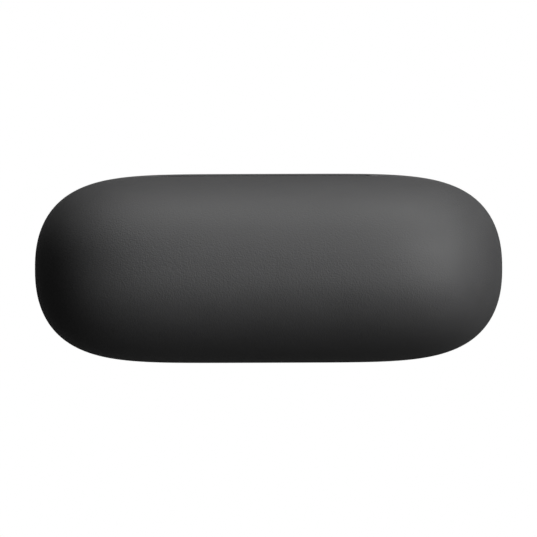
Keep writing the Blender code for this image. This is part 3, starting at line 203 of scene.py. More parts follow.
# (inset, height) round the flat foot's soft edge, from the flat outwards
FOOT_START = 0.9 * MM
FOOT_EDGE = [
    (FOOT_START, 0.0),
    (0.55 * MM, 0.02 * MM),
    (0.3 * MM, 0.09 * MM),
    (0.12 * MM, 0.24 * MM),
    (0.03 * MM, 0.5 * MM),
]

AXIS_X = Vector((1, 0, 0))
AXIS_Y = Vector((0, 1, 0))
AXIS_Z = Vector((0, 0, 1))
LEFT_RIGHT = (("left", -1), ("right", 1))


# ---------------------------------------------------------------- studio values

FLOOR_SIZE = 1.2
FLOOR_GAP = 0.05 * MM
AMBIENT = 0.04
LIGHT_DISTANCE = 0.6
# Direction from the case, size in metres and power in watts
LIGHTS = {
    "right": ((0.85, 0.3, 0.6), 0.45, 1.96),
    "upper_right": ((0.6, 0.5, 1.0), 0.4, 1.66),
    "overhead_right": ((0.7, -0.1, 1.0), 0.45, 0.98),
    "back": ((0.1, 1.0, -0.1), 0.35, 1.39),
    "low_back": ((0.4, 0.9, 0.15), 0.35, 0.65),
    "under": ((0.0, 0.0, -1.0), 0.4, 0.1),
}
VIEW_WIDTH = 75.95 * MM
LENS = 400.0
SENSOR = 36.0
VIEW_CENTRE = (-0.011 * MM, -0.022 * MM)
VIEW_TURN = math.radians(-0.19)


# ---------------------------------------------------------------- the pebble form

def fullness(z, inset=0.0):
    """What the plan formula adds up to at each height."""
    z = np.asarray(z, float)
    above = 1 - (np.maximum(z - BELLY, 0) / (CROWN - inset)) ** CROWN_POWER
    below = 1 - (np.maximum(BELLY - z, 0) / (KEEL - inset)) ** KEEL_POWER
    return np.clip(np.where(z > BELLY, above, below), 0, 1)


def half_depth_at(x, z, inset=0.0):
    left = fullness(z, inset) - (np.abs(x) / (HALF_WIDTH - inset)) ** END_POWER
    return (HALF_DEPTH - inset) * np.maximum(left, 0) ** (1 / SIDE_POWER)


def half_width_at(y, z, inset=0.0):
    left = fullness(z, inset) - (np.abs(y) / (HALF_DEPTH - inset)) ** SIDE_POWER
    return (HALF_WIDTH - inset) * np.maximum(left, 0) ** (1 / END_POWER)


def crown_height(x, y, inset=0.0):
    used = (np.abs(x) / (HALF_WIDTH - inset)) ** END_POWER
    used = used + (np.abs(y) / (HALF_DEPTH - inset)) ** SIDE_POWER
    return BELLY + (CROWN - inset) * np.maximum(1 - used, 0) ** (1 / CROWN_POWER)


SLOT_HALF = float(half_width_at(HINGE.y + SLOT_MARGIN, SEAM))
WELL_X = float(half_width_at(0.0, DECK, FIT_INSET + LIP_WALL)) - WELL_MARGIN - WELL_HALF_LENGTH


def unit_quarter(count, windows):
    """One quarter of the unit plan: points gathered at the turn and in the windows, given as spans of x."""
    step = np.linspace(0, 1, 4001)
    angle = np.pi / 2 * (1 - (1 - step) ** 3)
    across = np.maximum(np.cos(angle), 0) ** (2 / END_POWER)
    along = np.maximum(np.sin(angle), 0) ** (2 / SIDE_POWER)
    across[-1] = 0
    run = np.hypot(np.diff(across * HALF_WIDTH), np.diff(along * HALF_DEPTH))
    heading = np.unwrap(np.arctan2(np.diff(along * HALF_DEPTH), np.diff(across * HALF_WIDTH)))
    way = np.concatenate([[0], np.cumsum(run)])
    turn = np.concatenate([[0], np.cumsum(np.abs(np.diff(heading))), [0]])
    turn[-1] = turn[-2]
    marks = 0.6 * way / way[-1] + 0.4 * turn / turn[-1]
    wanted = list(np.linspace(0, 1, count + 1))
    for low, high in windows:
        ends = np.interp([-high / HALF_WIDTH, -low / HALF_WIDTH], -across, marks)
        wanted += list(np.linspace(ends[0], ends[1], 12))
    wanted = np.unique(np.round(wanted, 6))
    keep = np.concatenate([[True], np.diff(wanted) > 2e-4])
    wanted = wanted[keep]
    wanted[-1] = 1
    return np.interp(wanted, marks, across), np.interp(wanted, marks, along)


def unit_outline(count=56, windows=()):
    """The whole unit plan, from +X towards +Y, as two arrays."""
    across, along = unit_quarter(count, windows)
    across[-1], along[0] = 0, 0
    upper_x = np.concatenate([across, -across[-2::-1]])
    upper_y = np.concatenate([along, along[-2::-1]])
    return np.concatenate([upper_x, upper_x[-2:0:-1]]), np.concatenate([upper_y, -upper_y[-2:0:-1]])


SLOT_WINDOW = (SLOT_HALF - 1.8 * MM, SLOT_HALF + 0.5 * MM)
BAY_WINDOW = (BAY_HALF - 0.5 * MM, BAY_HALF + 0.5 * MM)
SHELL_PLAN = unit_outline(windows=[SLOT_WINDOW, BAY_WINDOW])
INNER_PLAN = unit_outline()


def ring_at(plan, z, inset=0.0):
    """A ring on the form: the plan's points at a height each, as rows of x, y, z."""
    z = np.broadcast_to(np.asarray(z, float), plan[0].shape)
    share = fullness(z, inset)
    x = (HALF_WIDTH - inset) * share ** (1 / END_POWER) * plan[0]
    y = (HALF_DEPTH - inset) * share ** (1 / SIDE_POWER) * plan[1]
    return np.stack([x, y, z], axis=1)


def flat_back(ring, limit):
    """Eases a ring to run flat across the back, where the hinge needs the room."""
    eased = ring.copy()
    y = np.maximum(ring[:, 1], 0)
    drawn_in = y / (1 + (y / limit) ** FLATTEN_POWER) ** (1 / FLATTEN_POWER)
    eased[:, 1] = np.where(ring[:, 1] > 0, drawn_in, ring[:, 1])
    return eased


def crown_rings(ring, inset, count):
    """Rings from one on the form up to the crown, drawing in to its middle."""
    rings = []
    for step in range(1, count):
        scale = math.cos(math.pi / 2 * step / count)
        x, y = ring[:, 0] * scale, ring[:, 1] * scale
        rings.append(np.stack([x, y, crown_height(x, y, inset)], axis=1))
    return rings


# ---------------------------------------------------------------- mesh tools

def piece(name, bm, node, body, slot, sharp=40):
    """A finished piece that stands for a CAD node: faces out, smooth but for its sharp edges."""
    bmesh.ops.recalc_face_normals(bm, faces=bm.faces)
    mesh = bpy.data.meshes.new(name)
    bm.to_mesh(mesh)
    bm.free()
    mesh.shade_smooth()
    mesh.set_sharp_from_angle(angle=math.radians(sharp))
    obj = bpy.data.objects.new(name, mesh)
    bpy.context.scene.collection.objects.link(obj)
    mesh.materials.append(FINISHES[slot])
    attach(obj, body)
    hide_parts(node)
    return obj


def add_rings(bm, rings, closed=False):
    """Quads between rings of points; closed joins the last ring to the first."""
    made = [[bm.verts.new(p) for p in ring] for ring in rings]
    pairs = list(zip(made, made[1:]))
    if closed:
        pairs.append((made[-1], made[0]))
    for low, high in pairs:
        for i, start in enumerate(low):
            after = (i + 1) % len(low)
            bm.faces.new((start, low[after], high[after], high[i]))
    return made


def add_pole(bm, ring, point):
    pole = bm.verts.new(point)
    for i, start in enumerate(ring):
        bm.faces.new((start, ring[(i + 1) % len(ring)], pole))


def add_capped(bm, rings):
    """Quads between rings, with a face over each end."""
    made = add_rings(bm, rings)
    bm.faces.new(made[0])
    bm.faces.new(made[-1])


def fill_between(bm, boundary, holes):
    """Flat triangles between a boundary and the holes in it, all at one height."""
    loops = [boundary] + holes
    flat = [[Vector((v.co.x, v.co.y, 0)) for v in loop] for loop in loops]
    corners = [v for loop in loops for v in loop]
    for triangle in tessellate_polygon(flat):
        bm.faces.new([corners[i] for i in triangle])
    for loop in loops:
        for i, start in enumerate(loop):
            edge = bm.edges.get((start, loop[(i + 1) % len(loop)]))
            if edge:
                edge.smooth = False


def edge_steps(count=5):
    """The sine and 1 minus the cosine of a quarter turn, in even steps."""
    turns = [math.pi / 2 * i / count for i in range(count + 1)]
    return [(math.sin(t), 1 - math.cos(t)) for t in turns]


def frame_for(axis):
    side = AXIS_X if abs(axis.x) < 0.5 else AXIS_Y
    return side, axis.cross(side)


def turned_mesh(bm, profile, axis, centre, steps=40):
    """A solid of revolution from (radius, distance along the axis); a radius of 0 is a pole."""
    side, other = frame_for(axis)
    rings = []
    for radius, along in profile:
        if radius > 0:
            turns = [2 * math.pi * i / steps for i in range(steps)]
            middle = centre + axis * along
            rings.append([middle + (side * math.cos(t) + other * math.sin(t)) * radius for t in turns])
    hollow = profile[0][0] > 0 and profile[-1][0] > 0
    made = add_rings(bm, rings, closed=hollow)
    if not hollow:
        add_pole(bm, made[0], centre + axis * profile[0][1])
        add_pole(bm, made[-1], centre + axis * profile[-1][1])


def rounded_profile(radius, start, end, edge, steps=4):
    """A rod's profile with both ends rounded."""
    profile = [(0, start)]
    profile += [(radius - edge + edge * s, start + edge * c) for s, c in edge_steps(steps)]
    profile += [(radius - edge + edge * s, end - edge * c) for s, c in reversed(edge_steps(steps))]
    return profile + [(0, end)]


def stadium(half_a, half_b, steps=14):
    """A slot-shaped outline as x, y pairs."""
    points = []
    for end in (1, -1):
        for step in range(steps + 1):
            turn = math.pi * (step / steps - 0.5)
            points.append((end * (half_a - half_b + half_b * math.cos(turn)), end * half_b * math.sin(turn)))
    return points


def at_height(flat, z):
    return [Vector((x, y, z)) for x, y in flat]


def rounded_box(bm, low, high, edge, segments=3):
    """A box with all its edges rounded, added to the mesh."""
    made = bmesh.ops.create_cube(bm, size=1)["verts"]
    middle, size = (low + high) / 2, high - low
    for vertex in made:
        vertex.co = Vector([m + c * s for m, c, s in zip(middle, vertex.co, size)])
    edges = list({e for v in made for e in v.link_edges})
    bmesh.ops.bevel(bm, geom=edges, offset=edge, segments=segments, profile=0.5, affect="EDGES")


def cut_mesh(obj, cutter_bm, operation="DIFFERENCE"):
    """Cuts or joins another closed mesh into a piece for good."""
    bmesh.ops.recalc_face_normals(cutter_bm, faces=cutter_bm.faces)
    mesh = bpy.data.meshes.new("tool")
    cutter_bm.to_mesh(mesh)
    cutter_bm.free()
    tool = bpy.data.objects.new("tool", mesh)
    bpy.context.scene.collection.objects.link(tool)
    modifier = obj.modifiers.new("cut", "BOOLEAN")
    modifier.operation = operation
    modifier.solver = "EXACT"
    modifier.object = tool
    settle(obj)
    bpy.data.objects.remove(tool)


def settle(obj):
    """Applies a piece's modifiers."""
    graph = bpy.context.evaluated_depsgraph_get()
    result = bpy.data.meshes.new_from_object(obj.evaluated_get(graph))
    materials = list(obj.data.materials)
    obj.modifiers.clear()
    obj.data = result
    if not result.materials:
        for material in materials:
            result.materials.append(material)


# ---------------------------------------------------------------- materials

def socket_in(group, name, kind, value):
    made = group.interface.new_socket(name=name, in_out="INPUT", socket_type=kind)
    made.default_value = value


def math_node(tree, operation, first, second, clamp=False):
    """A maths node's output. Each input is a number or another node's output."""
    node = tree.nodes.new("ShaderNodeMath")
    node.operation = operation
    node.use_clamp = clamp
    for given, value in zip(node.inputs, (first, second)):
        if isinstance(value, float):
            given.default_value = value
        else:
            tree.links.new(value, given)
    return node.outputs[0]


def grain_group():
    """The fine pitted grain of a spark-eroded mould. Puts out its height and a faint tone."""
    group = bpy.data.node_groups.new("Mould grain", "ShaderNodeTree")
    socket_in(group, "Cells per metre", "NodeSocketFloat", 4200.0)
    socket_in(group, "Coarse share", "NodeSocketFloat", 0.2)
    group.interface.new_socket(name="Height", in_out="OUTPUT", socket_type="NodeSocketFloat")
    group.interface.new_socket(name="Tone", in_out="OUTPUT", socket_type="NodeSocketFloat")
    nodes, links = group.nodes, group.links
    given, out = nodes.new("NodeGroupInput"), nodes.new("NodeGroupOutput")
    place = nodes.new("ShaderNodeTexCoord")
    fine = nodes.new("ShaderNodeTexNoise")
    fine.inputs["Detail"].default_value = 3.0
    fine.inputs["Roughness"].default_value = 0.6
    pits = nodes.new("ShaderNodeTexVoronoi")
    pits.feature = "SMOOTH_F1"
    pits.inputs["Smoothness"].default_value = 0.6
    links.new(place.outputs["Object"], fine.inputs["Vector"])
    links.new(place.outputs["Object"], pits.inputs["Vector"])
    links.new(given.outputs["Cells per metre"], fine.inputs["Scale"])
    coarser = math_node(group, "MULTIPLY", given.outputs["Cells per metre"], 0.55)
    links.new(coarser, pits.inputs["Scale"])
    mix = nodes.new("ShaderNodeMix")
    links.new(given.outputs["Coarse share"], mix.inputs["Factor"])
    links.new(fine.outputs["Fac"], mix.inputs["A"])
    links.new(pits.outputs["Distance"], mix.inputs["B"])
    links.new(mix.outputs["Result"], out.inputs["Height"])
    drift = nodes.new("ShaderNodeTexNoise")
    drift.inputs["Scale"].default_value = 160.0
    drift.inputs["Detail"].default_value = 4.0
    links.new(place.outputs["Object"], drift.inputs["Vector"])
    links.new(drift.outputs["Fac"], out.inputs["Tone"])
    return group


def wear_group():
    """Where hands and pockets polish the edges. Puts out a mask."""
    group = bpy.data.node_groups.new("Edge wear", "ShaderNodeTree")
    socket_in(group, "Start", "NodeSocketFloat", 0.52)
    socket_in(group, "Patchiness per metre", "NodeSocketFloat", 900.0)
    group.interface.new_socket(name="Mask", in_out="OUTPUT", socket_type="NodeSocketFloat")
    nodes, links = group.nodes, group.links
    given, out = nodes.new("NodeGroupInput"), nodes.new("NodeGroupOutput")
    shape = nodes.new("ShaderNodeNewGeometry")
    above = math_node(group, "SUBTRACT", shape.outputs["Pointiness"], given.outputs["Start"], True)
    place = nodes.new("ShaderNodeTexCoord")
    patch = nodes.new("ShaderNodeTexNoise")
    patch.inputs["Detail"].default_value = 3.0
    links.new(place.outputs["Object"], patch.inputs["Vector"])
    links.new(given.outputs["Patchiness per metre"], patch.inputs["Scale"])
    amount = math_node(group, "MULTIPLY", above, patch.outputs["Fac"], True)
    links.new(math_node(group, "MULTIPLY", amount, 8.0, True), out.inputs["Mask"])
    return group


def brushed_group():
    """Fine drawn lines along X in metal. Puts out a height."""
    group = bpy.data.node_groups.new("Drawn lines", "ShaderNodeTree")
    socket_in(group, "Lines per metre", "NodeSocketFloat", 9000.0)
    group.interface.new_socket(name="Height", in_out="OUTPUT", socket_type="NodeSocketFloat")
    nodes, links = group.nodes, group.links
    given, out = nodes.new("NodeGroupInput"), nodes.new("NodeGroupOutput")
    place = nodes.new("ShaderNodeTexCoord")
    stretch = nodes.new("ShaderNodeVectorMath")
    stretch.operation = "MULTIPLY"
    stretch.inputs[1].default_value = (0.04, 1.0, 1.0)
    links.new(place.outputs["Object"], stretch.inputs[0])
    lines = nodes.new("ShaderNodeTexNoise")
    lines.inputs["Detail"].default_value = 2.0
    links.new(stretch.outputs["Vector"], lines.inputs["Vector"])
    links.new(given.outputs["Lines per metre"], lines.inputs["Scale"])
    links.new(lines.outputs["Fac"], out.inputs["Height"])
    return group


MOULD_GRAIN = grain_group()
EDGE_WEAR = wear_group()
DRAWN_LINES = brushed_group()


def place_group(material, group, **values):
    node = material.node_tree.nodes.new("ShaderNodeGroup")
    node.node_tree = group
    for name, value in values.items():
        node.inputs[name.replace("_", " ")].default_value = value
    return node


def new_material(name, roughness, metallic=0.0, **settings):
    material = bpy.data.materials.new(name)
    material.use_nodes = True
    shader = material.node_tree.nodes["Principled BSDF"]
    shader.inputs["Roughness"].default_value = roughness
    shader.inputs["Metallic"].default_value = metallic
    for key, value in settings.items():
        shader.inputs[key.replace("_", " ")].default_value = value
    return material, shader


def ramp_between(material, source, low, high, start=0.3, end=0.7):
    """A colour that runs from low to high as a value does."""
    ramp = material.node_tree.nodes.new("ShaderNodeValToRGB")
    ramp.color_ramp.elements[0].position = start
    ramp.color_ramp.elements[0].color = (*low, 1)
    ramp.color_ramp.elements[1].position = end
    ramp.color_ramp.elements[1].color = (*high, 1)
    material.node_tree.links.new(source, ramp.inputs["Fac"])
    return ramp.outputs["Color"]


def mapped(material, source, low, high):
    """A value that runs from low to high as another runs from 0.3 to 0.7."""
    node = material.node_tree.nodes.new("ShaderNodeMapRange")
    node.inputs["From Min"].default_value = 0.3
    node.inputs["From Max"].default_value = 0.7
    node.inputs["To Min"].default_value = low
    node.inputs["To Max"].default_value = high
    material.node_tree.links.new(source, node.inputs["Value"])
    return node.outputs["Result"]


def bump(material, shader, height, depth, strength=1.0):
    node = material.node_tree.nodes.new("ShaderNodeBump")
    node.inputs["Distance"].default_value = depth
    node.inputs["Strength"].default_value = strength
    material.node_tree.links.new(height, node.inputs["Height"])
    material.node_tree.links.new(node.outputs["Normal"], shader.inputs["Normal"])


def plastic(name, colour, roughness, grain, depth, spread=0.12, wear=0.25):
    """Moulded plastic: fine grain, a faint drift in tone and gloss, and polished edges."""
    material, shader = new_material(name, roughness)
    links = material.node_tree.links
    texture = place_group(material, MOULD_GRAIN, Cells_per_metre=grain)
    low = [c * (1 - spread) for c in colour]
    high = [c * (1 + spread) for c in colour]
    tone = ramp_between(material, texture.outputs["Tone"], low, high)
    worn = place_group(material, EDGE_WEAR)
    mix = material.node_tree.nodes.new("ShaderNodeMix")
    mix.data_type = "RGBA"
    mix.inputs["B"].default_value = (*[c * (1 + wear * 2) for c in colour], 1)
    links.new(worn.outputs["Mask"], mix.inputs["Factor"])
    links.new(tone, mix.inputs["A"])
    links.new(mix.outputs["Result"], shader.inputs["Base Color"])
    gloss = mapped(material, texture.outputs["Tone"], roughness - 0.03, roughness + 0.03)
    links.new(gloss, shader.inputs["Roughness"])
    bump(material, shader, texture.outputs["Height"], depth)
    return material


def metal(name, colour, roughness, lines=9000.0, depth=0.0015 * MM):
    """Bare or plated metal with fine drawn lines."""
    material, shader = new_material(name, roughness, 1.0)
    links = material.node_tree.links
    drawn = place_group(material, DRAWN_LINES, Lines_per_metre=lines)
    tone = ramp_between(material, drawn.outputs["Height"], [c * 0.85 for c in colour], colour)
    links.new(tone, shader.inputs["Base Color"])
    gloss = mapped(material, drawn.outputs["Height"], roughness - 0.06, roughness + 0.08)
    links.new(gloss, shader.inputs["Roughness"])
    bump(material, shader, drawn.outputs["Height"], depth)
    return material


def circuit_board():
    """Green solder mask over copper tracks."""
    material, shader = new_material("solder_mask", 0.35)
    nodes, links = material.node_tree.nodes, material.node_tree.links
    place = nodes.new("ShaderNodeTexCoord")
    tracks = nodes.new("ShaderNodeTexBrick")
    tracks.inputs["Scale"].default_value = 700.0
    tracks.inputs["Color1"].default_value = (0.012, 0.075, 0.035, 1)
    tracks.inputs["Color2"].default_value = (0.02, 0.11, 0.05, 1)
    tracks.inputs["Mortar"].default_value = (0.05, 0.16, 0.06, 1)
    links.new(place.outputs["Object"], tracks.inputs["Vector"])
    links.new(tracks.outputs["Color"], shader.inputs["Base Color"])
    texture = place_group(material, MOULD_GRAIN, Cells_per_metre=2500.0)
    bump(material, shader, texture.outputs["Height"], 0.004 * MM)
    return material


def clear_plastic():
    """The light pipe: clear moulding with a frosted face."""
    material, shader = new_material("light_pipe", 0.3, 0.0, Transmission_Weight=0.6, IOR=1.49)
    texture = place_group(material, MOULD_GRAIN, Cells_per_metre=6000.0)
    shade = ramp_between(material, texture.outputs["Tone"], (0.62, 0.64, 0.66), (0.75, 0.77, 0.78))
    material.node_tree.links.new(shade, shader.inputs["Base Color"])
    bump(material, shader, texture.outputs["Height"], 0.006 * MM)
    return material


SHELL_COLOUR = (0.058, 0.058, 0.059)
FINISHES = {
    "shell_plastic": plastic("shell_plastic", SHELL_COLOUR, 0.62, 5200.0, 0.055 * MM, 0.04, 0.0),
    "button_plastic": plastic("button_plastic", (0.054, 0.054, 0.055), 0.58, 5200.0, 0.045 * MM, 0.04, 0.0),
    "cradle_plastic": plastic("cradle_plastic", (0.026, 0.026, 0.027), 0.36, 5200.0, 0.006 * MM),
    "liner_plastic": plastic("liner_plastic", (0.028, 0.028, 0.029), 0.42, 5200.0, 0.008 * MM),
    "frame_plastic": plastic("frame_plastic", (0.03, 0.03, 0.032), 0.5, 3000.0, 0.01 * MM),
    "gasket_rubber": plastic("gasket_rubber", (0.02, 0.02, 0.02), 0.7, 3500.0, 0.01 * MM),
    "foam": plastic("foam", (0.03, 0.03, 0.03), 0.95, 1800.0, 0.08 * MM),
    "chip": plastic("chip", (0.018, 0.018, 0.018), 0.45, 4000.0, 0.008 * MM),
    "lamp": plastic("lamp", (0.8, 0.8, 0.62), 0.3, 4000.0, 0.004 * MM),
    "flex_film": plastic("flex_film", (0.42, 0.2, 0.045), 0.3, 1500.0, 0.004 * MM),
    "hinge_steel": metal("hinge_steel", (0.36, 0.36, 0.37), 0.38),
    "pin_steel": metal("pin_steel", (0.6, 0.6, 0.61), 0.22),
    "screw_steel": metal("screw_steel", (0.3, 0.3, 0.31), 0.32),
    "spring_steel": metal("spring_steel", (0.55, 0.55, 0.55), 0.3),
    "tinned_steel": metal("tinned_steel", (0.58, 0.58, 0.57), 0.35, 3000.0),
    "socket_steel": metal("socket_steel", (0.55, 0.55, 0.56), 0.28),
    "magnet_nickel": metal("magnet_nickel", (0.6, 0.59, 0.57), 0.25, 3000.0),
    "cell_foil": metal("cell_foil", (0.5, 0.51, 0.53), 0.4, 600.0, 0.03 * MM),
    "contact_gold": metal("contact_gold", (0.9, 0.64, 0.26), 0.4),
    "circuit_board": circuit_board(),
    "light_pipe": clear_plastic(),
}


def finish_carried_nodes():
    """Gives each CAD node the finish of its slot."""
    for part in frame["record"]["subparts"]:
        obj = frame["nodes"][part["node"]]
        obj.data.materials.clear()
        obj.data.materials.append(FINISHES[part["material_slot"]])


def turned_piece(name, profile, axis, centre, node, body, slot, steps=40):
    """A fine solid of revolution that stands for a CAD node."""
    bm = bmesh.new()
    turned_mesh(bm, profile, axis, centre, steps)
    piece(name, bm, node, body, slot)


# ---------------------------------------------------------------- shells

def rim_section(rise, inset, wall, edge=RIM_EDGE):
    """(inset, height above the rim) from the outer wall, over a rounded rim, to the inner wall."""
    outer = [(inset + edge * c, rise * edge * (1 - s)) for s, c in edge_steps()]
    inner = [(inset + wall - edge * c, rise * edge * (1 - s)) for s, c in reversed(edge_steps())]
    return outer + inner


def slot_height(plan):
    """The lid's rim at each point of the plan: lifted over the hinge at the back."""
    seam = ring_at(plan, SEAM)
    inward = SLOT_HALF - np.abs(seam[:, 0])
    full = SEAM + SLOT_RISE - LID_RIM
    past_corner = np.maximum(SLOT_CORNER - inward, 0)
    round_off = SLOT_CORNER - np.sqrt(np.maximum(SLOT_CORNER ** 2 - past_corner ** 2, 0))
    lift = np.where((inward > 0) & (seam[:, 1] > 0), full - round_off, 0)
    return LID_RIM + lift


def lid_skin():
    """The lid's outer moulding, from the middle of its inside, over the rim, to the top."""
    bm = bmesh.new()
    rim = slot_height(SHELL_PLAN)
    start = rim + RIM_EDGE
    rings = []
    inner_crown = crown_rings(ring_at(SHELL_PLAN, TURN_OVER, WALL), WALL, 40)
    for share in np.linspace(1, 0, 14)[:-1]:
        rings.append(ring_at(SHELL_PLAN, start + (TURN_OVER - start) * share ** 1.4, WALL))
    for inset, height in reversed(rim_section(1, 0.0, WALL)):
        rings.append(ring_at(SHELL_PLAN, rim + height, inset))
    for share in np.linspace(0, 1, 22)[1:]:
        rings.append(ring_at(SHELL_PLAN, start + (TURN_OVER - start) * share ** 1.2, 0.0))
    rings = inner_crown[::-1] + rings + crown_rings(rings[-1], 0.0, 60)
    made = add_rings(bm, rings)
    add_pole(bm, made[0], (0, 0, HEIGHT - WALL))
    add_pole(bm, made[-1], (0, 0, HEIGHT))
    return piece("lid_moulding", bm, "lid_shell", "lid", "shell_plastic", 60)


def liner_skin():
    """The lid's lining: a smooth cup with a rounded rim, flat across the back."""
    bm = bmesh.new()
    inner_inset = FIT_INSET + LINER_WALL
    start = LINER_RIM + LINER_EDGE

    def eased(ring, inset):
        share = (inset - FIT_INSET) / LINER_WALL
        return flat_back(ring, LINER_LIMIT - LINER_WALL / 2 * share)

    def wall_rings(shares, inset):
        heights = [start + (TURN_OVER - start) * share for share in shares]
        return [eased(ring_at(INNER_PLAN, z, inset), inset) for z in heights]

    def crown(inset, count):
        return [eased(r, inset) for r in crown_rings(ring_at(INNER_PLAN, TURN_OVER, inset), inset, count)]

    rings = crown(inner_inset, 40)[::-1] + wall_rings(np.linspace(1, 0, 14)[:-1], inner_inset)
    for inset, height in reversed(rim_section(1, FIT_INSET, LINER_WALL, LINER_EDGE)):
        rings.append(eased(ring_at(INNER_PLAN, LINER_RIM + height, inset), inset))
    rings += wall_rings(np.linspace(0, 1, 12)[1:], FIT_INSET) + crown(FIT_INSET, 30)
    made = add_rings(bm, rings)
    add_pole(bm, made[0], (0, 0, HEIGHT - inner_inset))
    add_pole(bm, made[-1], (0, 0, HEIGHT - FIT_INSET))
    return piece("lid_lining", bm, "lid_liner", "lid", "liner_plastic", 60)


def bay_height(plan, drop):
    """The base's rim at each point of the plan: lowered for the hinge's knuckles."""
    seam = ring_at(plan, SEAM)
    inward = BAY_HALF - np.abs(seam[:, 0])
    return np.where((inward > 0) & (seam[:, 1] > 0), SEAM - drop, BASE_RIM)


def base_skin():
    """The base's outer moulding, from the flat foot, over the rim, to the floor inside."""
    bm = bmesh.new()
    plan = SHELL_PLAN
    outer_rim = bay_height(plan, BAY_DROP)
    inner_rim = bay_height(plan, BAY_DROP + BAY_SLOPE)
    rings = [ring_at(plan, z, inset) for inset, z in FOOT_EDGE]
    for share in np.linspace(0, 1, 40)[:-1]:
        rings.append(ring_at(plan, FOOT_START + (outer_rim - RIM_EDGE - FOOT_START) * share, 0.0))
    for inset, height in rim_section(-1, 0.0, WALL):
        share = min(max(inset / WALL, 0), 1)
        rings.append(ring_at(plan, outer_rim + (inner_rim - outer_rim) * share + height, inset))
    for share in np.linspace(1, 0, 26)[1:]:
        rings.append(ring_at(plan, FLOOR + (inner_rim - RIM_EDGE - FLOOR) * share, WALL))
    made = add_rings(bm, rings)
    mouth = (GASKET_HIGH.x + GASKET_GAP, GASKET_HIGH.y + GASKET_GAP)
    sections = [(MOUTH_EDGE - MOUTH_EDGE * s, MOUTH_EDGE * c) for s, c in edge_steps(4)]
    hole = [at_height(stadium(mouth[0] + out, mouth[1] + out), up) for out, up in sections]
    hole.append(at_height(stadium(*mouth), FLOOR))
    hole_made = add_rings(bm, hole)
    fill_between(bm, made[0], [hole_made[0]])
    fill_between(bm, made[-1], [hole_made[-1]])
    shell = piece("base_moulding", bm, "base_shell", "base", "shell_plastic", 60)
    cut_mesh(shell, flared_hole(BUTTON.z, BUTTON_HOLE, 1, BUTTON_FLARE))
    cut_mesh(shell, flared_hole(LAMP_HEIGHT, PIPE_RADIUS + PIPE_GAP, -1, LAMP_FLARE))
    ease_normals(shell)


def flared_hole(height, radius, facing, flare, steps=64):
    """A cutter for a round hole through the front or back wall, its mouth eased where it meets the skin."""
    bm = bmesh.new()
    sections = [
        (radius, -4 * MM),
        (radius, -flare),
        (radius + 0.3 * flare, -0.35 * flare),
        (radius + flare, 0.02 * MM),
        (radius + 1.3 * flare, MM),
    ]
    rings = []
    for ring_radius, out in sections:
        ring = []
        for step in range(steps):
            turn = 2 * math.pi * step / steps
            x, z = ring_radius * math.cos(turn), height + ring_radius * math.sin(turn)
            ring.append((x, facing * (float(half_depth_at(x, z)) + out), z))
        rings.append(ring)
    add_capped(bm, rings)
    return bm


def form_normals(points):
    """The form's own normals at points on it."""
    x, y, z = points.T
    across = np.abs(x) / HALF_WIDTH
    along = np.abs(y) / HALF_DEPTH
    x_slope = END_POWER / HALF_WIDTH * across ** (END_POWER - 1) * np.sign(x)
    y_slope = SIDE_POWER / HALF_DEPTH * along ** (SIDE_POWER - 1) * np.sign(y)
    above = CROWN_POWER / CROWN * (np.maximum(z - BELLY, 0) / CROWN) ** (CROWN_POWER - 1)
    below = -KEEL_POWER / KEEL * (np.maximum(BELLY - z, 0) / KEEL) ** (KEEL_POWER - 1)
    normals = np.stack([x_slope, y_slope, above + below], axis=1)
    return normals / np.maximum(np.linalg.norm(normals, axis=1, keepdims=True), 1e-12)


def ease_normals(obj):
    """Gives the outer skin the form's own normals, so that the cuts leave no marks in its shading."""
    mesh = obj.data
    points = np.empty(len(mesh.vertices) * 3)
    mesh.vertices.foreach_get("co", points)
    points = points.reshape(-1, 3)
    total = (np.abs(points[:, 0]) / HALF_WIDTH) ** END_POWER
    total = total + (np.abs(points[:, 1]) / HALF_DEPTH) ** SIDE_POWER
    on_skin = np.abs(total - fullness(points[:, 2])) < 2e-4
    normals = form_normals(points)
    corners = np.empty(len(mesh.loops) * 3)
    mesh.corner_normals.foreach_get("vector", corners)
    corners = corners.reshape(-1, 3)
    for face in mesh.polygons:
        loops = list(face.loop_indices)
        ids = [mesh.loops[i].vertex_index for i in loops]
        if all(on_skin[i] for i in ids) and all(normals[i] @ np.array(face.normal) > 0.9 for i in ids):
            corners[loops] = normals[ids]
    mesh.normals_split_custom_set(corners.tolist())


def hinge_beads():
    """The round ridges beside the hinge that fill the lid's slot."""
    start, end, steps = BAY_HALF + 0.02 * MM, SLOT_HALF - 0.2 * MM, 48
    turn = np.linspace(0, 2 * np.pi, steps, endpoint=False)
    stations = [(start + BEAD_EDGE * c, BEAD_EDGE * (1 - s)) for s, c in edge_steps(4)]
    stations += [(start + (end - start) * i / 12, 0) for i in range(1, 12)]
    stations += [(end - BEAD_EDGE * c, BEAD_EDGE * (1 - s)) for s, c in reversed(edge_steps(4))]
    for side, sign in LEFT_RIGHT:
        rings = []
        for x, shrink in stations:
            z = HINGE.z + (KNUCKLE_RADIUS - shrink) * np.sin(turn)
            y = HINGE.y + (KNUCKLE_RADIUS - shrink) * np.cos(turn)
            skin = half_depth_at(x, z) - BEAD_COVER - shrink * 0.5
            y = -BEAD_SOFTNESS * np.logaddexp(-y / BEAD_SOFTNESS, -skin / BEAD_SOFTNESS)
            rings.append(np.stack([np.full(steps, sign * x), y, z], axis=1))
        bm = bmesh.new()
        add_capped(bm, rings)
        piece(f"hinge_bead_{side}", bm, "base_shell", "base", "shell_plastic", 50)


# ---------------------------------------------------------------- cradle

